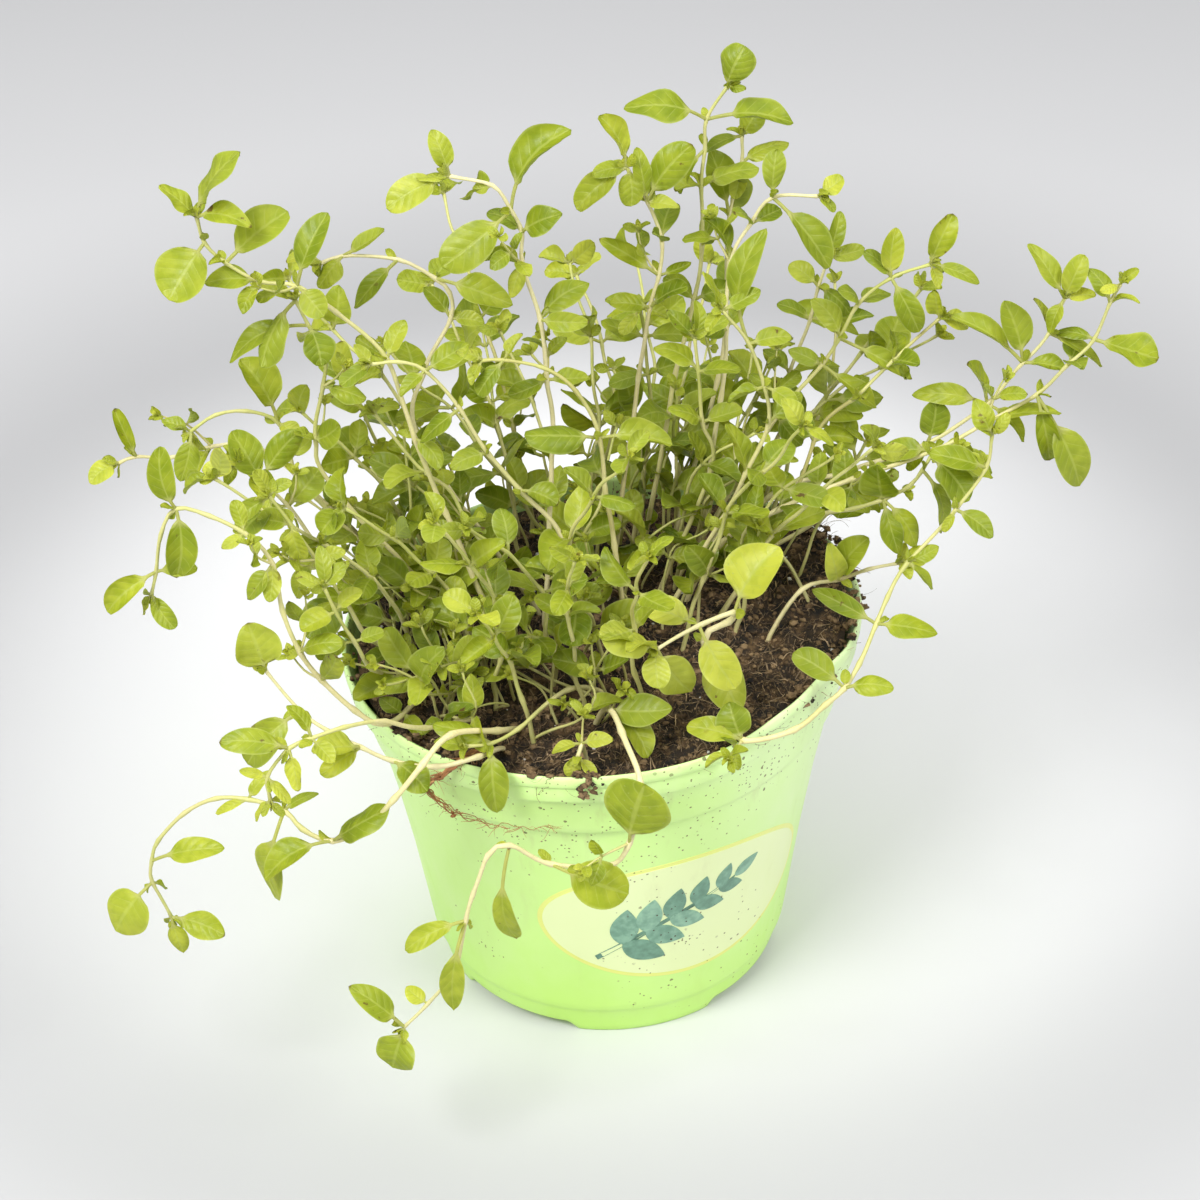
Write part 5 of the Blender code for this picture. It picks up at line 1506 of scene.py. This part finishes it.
def peat_material(name, lift):
    """Dark fibrous peat. lift makes loose crumbs paler than the damp ground."""
    g = Graph(name)
    spot = g.position()
    tone = g.split(g.attribute("tone"))[0]
    broad = g.noise(210.0, 5.0, spot, 0.62)
    strands = g.node("ShaderNodeMapping", {0: spot, 2: (0.4, 0.3, 0.9), 3: (1.0, 0.22, 1.0)}).outputs[0]
    straw = g.fit(g.noise(1300.0, 4.0, strands, 0.6), 0.58, 0.72)
    tint = g.ramp(g.plus(broad, g.times(tone, lift), True), PEAT_TINTS)
    tint = g.mix(g.times(straw, 0.7), tint, PEAT_STRAW)
    return g.surface(tint, g.spread(broad, 0.75, 0.98), g.bump(g.noise(1700.0, 5.0, spot, 0.65), 0.9, 0.0009))


def fibre_material(name, dark, light):
    """A dry matt thing whose pieces run from dark to light, most of them nearer the dark."""
    g = Graph(name)
    tone = g.split(g.attribute("tone"))[0]
    patches = g.noise(400.0, 4.0, g.position())
    darker = tuple(a + 0.22 * (b - a) for a, b in zip(dark, light))
    shade = g.plus(g.times(tone, 0.7), g.spread(patches, 0.0, 0.3), True)
    tint = g.ramp(shade, [(0.0, dark), (0.6, darker), (1.0, light)])
    return g.surface(tint, g.spread(patches, 0.65, 0.9), g.bump(patches, 0.4, 0.0002))


def paper_material():
    """Matt paper with a painted pool of light: palest round the middle, painted darker further out."""
    g = Graph("studio_floor")
    spot = g.position()
    away = g.node("ShaderNodeVectorMath", {0: spot, 1: PAPER_LIGHT_POOL}, operation="DISTANCE").outputs["Value"]
    # Painted shade: the paper darkens away from the pool's middle, and pales again further back.
    share = g.times(g.fit(away, *PAPER_SHADE_SPREAD), g.fit(away, *PAPER_FAR))
    share = g.plus(share, g.spread(g.noise(1.3, 2.0, spot), 0.0, 0.05), True)
    g.set(g.shader.inputs["Base Color"], g.mix(share, PAPER_LIT, PAPER_SHADED))
    g.shader.inputs["Roughness"].default_value = 0.7
    return g.material


# Studio


def make_camera():
    """The camera, on a line that rises to the target's front, turned a little about that line."""
    data = bpy.data.cameras.new("camera")
    data.lens, data.sensor_width = VIEW_LENS, SENSOR
    data.clip_start, data.clip_end = 0.01, 50
    camera = bpy.data.objects.new("camera", data)
    bpy.context.scene.collection.objects.link(camera)
    back = Vector((0, -math.cos(VIEW_ELEVATION), math.sin(VIEW_ELEVATION)))
    upright = Vector((0, math.sin(VIEW_ELEVATION), math.cos(VIEW_ELEVATION)))
    right = Vector((1, 0, 0))
    across = right * math.cos(VIEW_ROLL) + upright * math.sin(VIEW_ROLL)
    up = upright * math.cos(VIEW_ROLL) - right * math.sin(VIEW_ROLL)
    turn = Matrix((across, up, back)).transposed().to_4x4()
    camera.matrix_world = Matrix.Translation(VIEW_TARGET + back * VIEW_DISTANCE) @ turn
    bpy.context.scene.camera = camera


def area_light(name, place, size, power):
    data = bpy.data.lights.new(name, "AREA")
    data.shape = "DISK"
    data.size, data.energy = size, power
    lamp = bpy.data.objects.new(name, data)
    lamp.location = place
    lamp.rotation_euler = (Vector(LIGHT_TARGET) - Vector(place)).to_track_quat("-Z", "Y").to_euler()
    bpy.context.scene.collection.objects.link(lamp)


def make_studio():
    mesh = bpy.data.meshes.new("studio_floor")
    corners = [(x * FLOOR_HALF, y * FLOOR_HALF, 0) for x, y in ((-1, -1), (1, -1), (1, 1), (-1, 1))]
    mesh.from_pydata(corners, [], [(0, 1, 2, 3)])
    mesh.materials.append(paper_material())
    floor = bpy.data.objects.new("studio_floor", mesh)
    bpy.context.scene.collection.objects.link(floor)
    world = bpy.data.worlds.new("studio")
    world.use_nodes = True
    for socket, value in zip(world.node_tree.nodes["Background"].inputs, (WORLD_TINT, WORLD_STRENGTH)):
        socket.default_value = value
    bpy.context.scene.world = world
    for light in LIGHTS:
        area_light(*light)
    bpy.context.scene.view_settings.view_transform = "Standard"


def make_all():
    noise.seed_set(NOISE_SEED)
    make_camera()
    make_studio()
    make_pot(plastic_material("pot_plastic", *POT_GREENS))
    make_label(plastic_material("label_yellow", *LABEL_YELLOWS),
               plastic_material("label_cream", *LABEL_CREAMS), ink_material())
    make_soil(peat_material("damp_peat", 0.0))
    make_crumbs(peat_material("loose_peat", CRUMB_LIFT))
    make_perlite(fibre_material("perlite", *PERLITE_TINTS))
    make_fibres(fibre_material("peat_fibre", *FIBRE_TINTS))
    make_loose_root(fibre_material("root", *ROOT_TINTS))
    materials = [leaf_material(), stem_material()]
    dice = random.Random(SPRIG_SEED)
    for name, joints, leaves in table_sprigs():
        make_sprig(name, joints, leaves, materials, HERO_GRID, dice, *NEAR_SPRIGS.get(name, USUAL_SPRIG))
    for name, joints, leaves in inner_sprigs():
        make_sprig(name, joints, leaves, materials, INNER_GRID, dice, *INNER_SPRIG)
    make_shoots(materials)
    make_low_shoots(materials)


make_all()
bpy.context.view_layer.update()
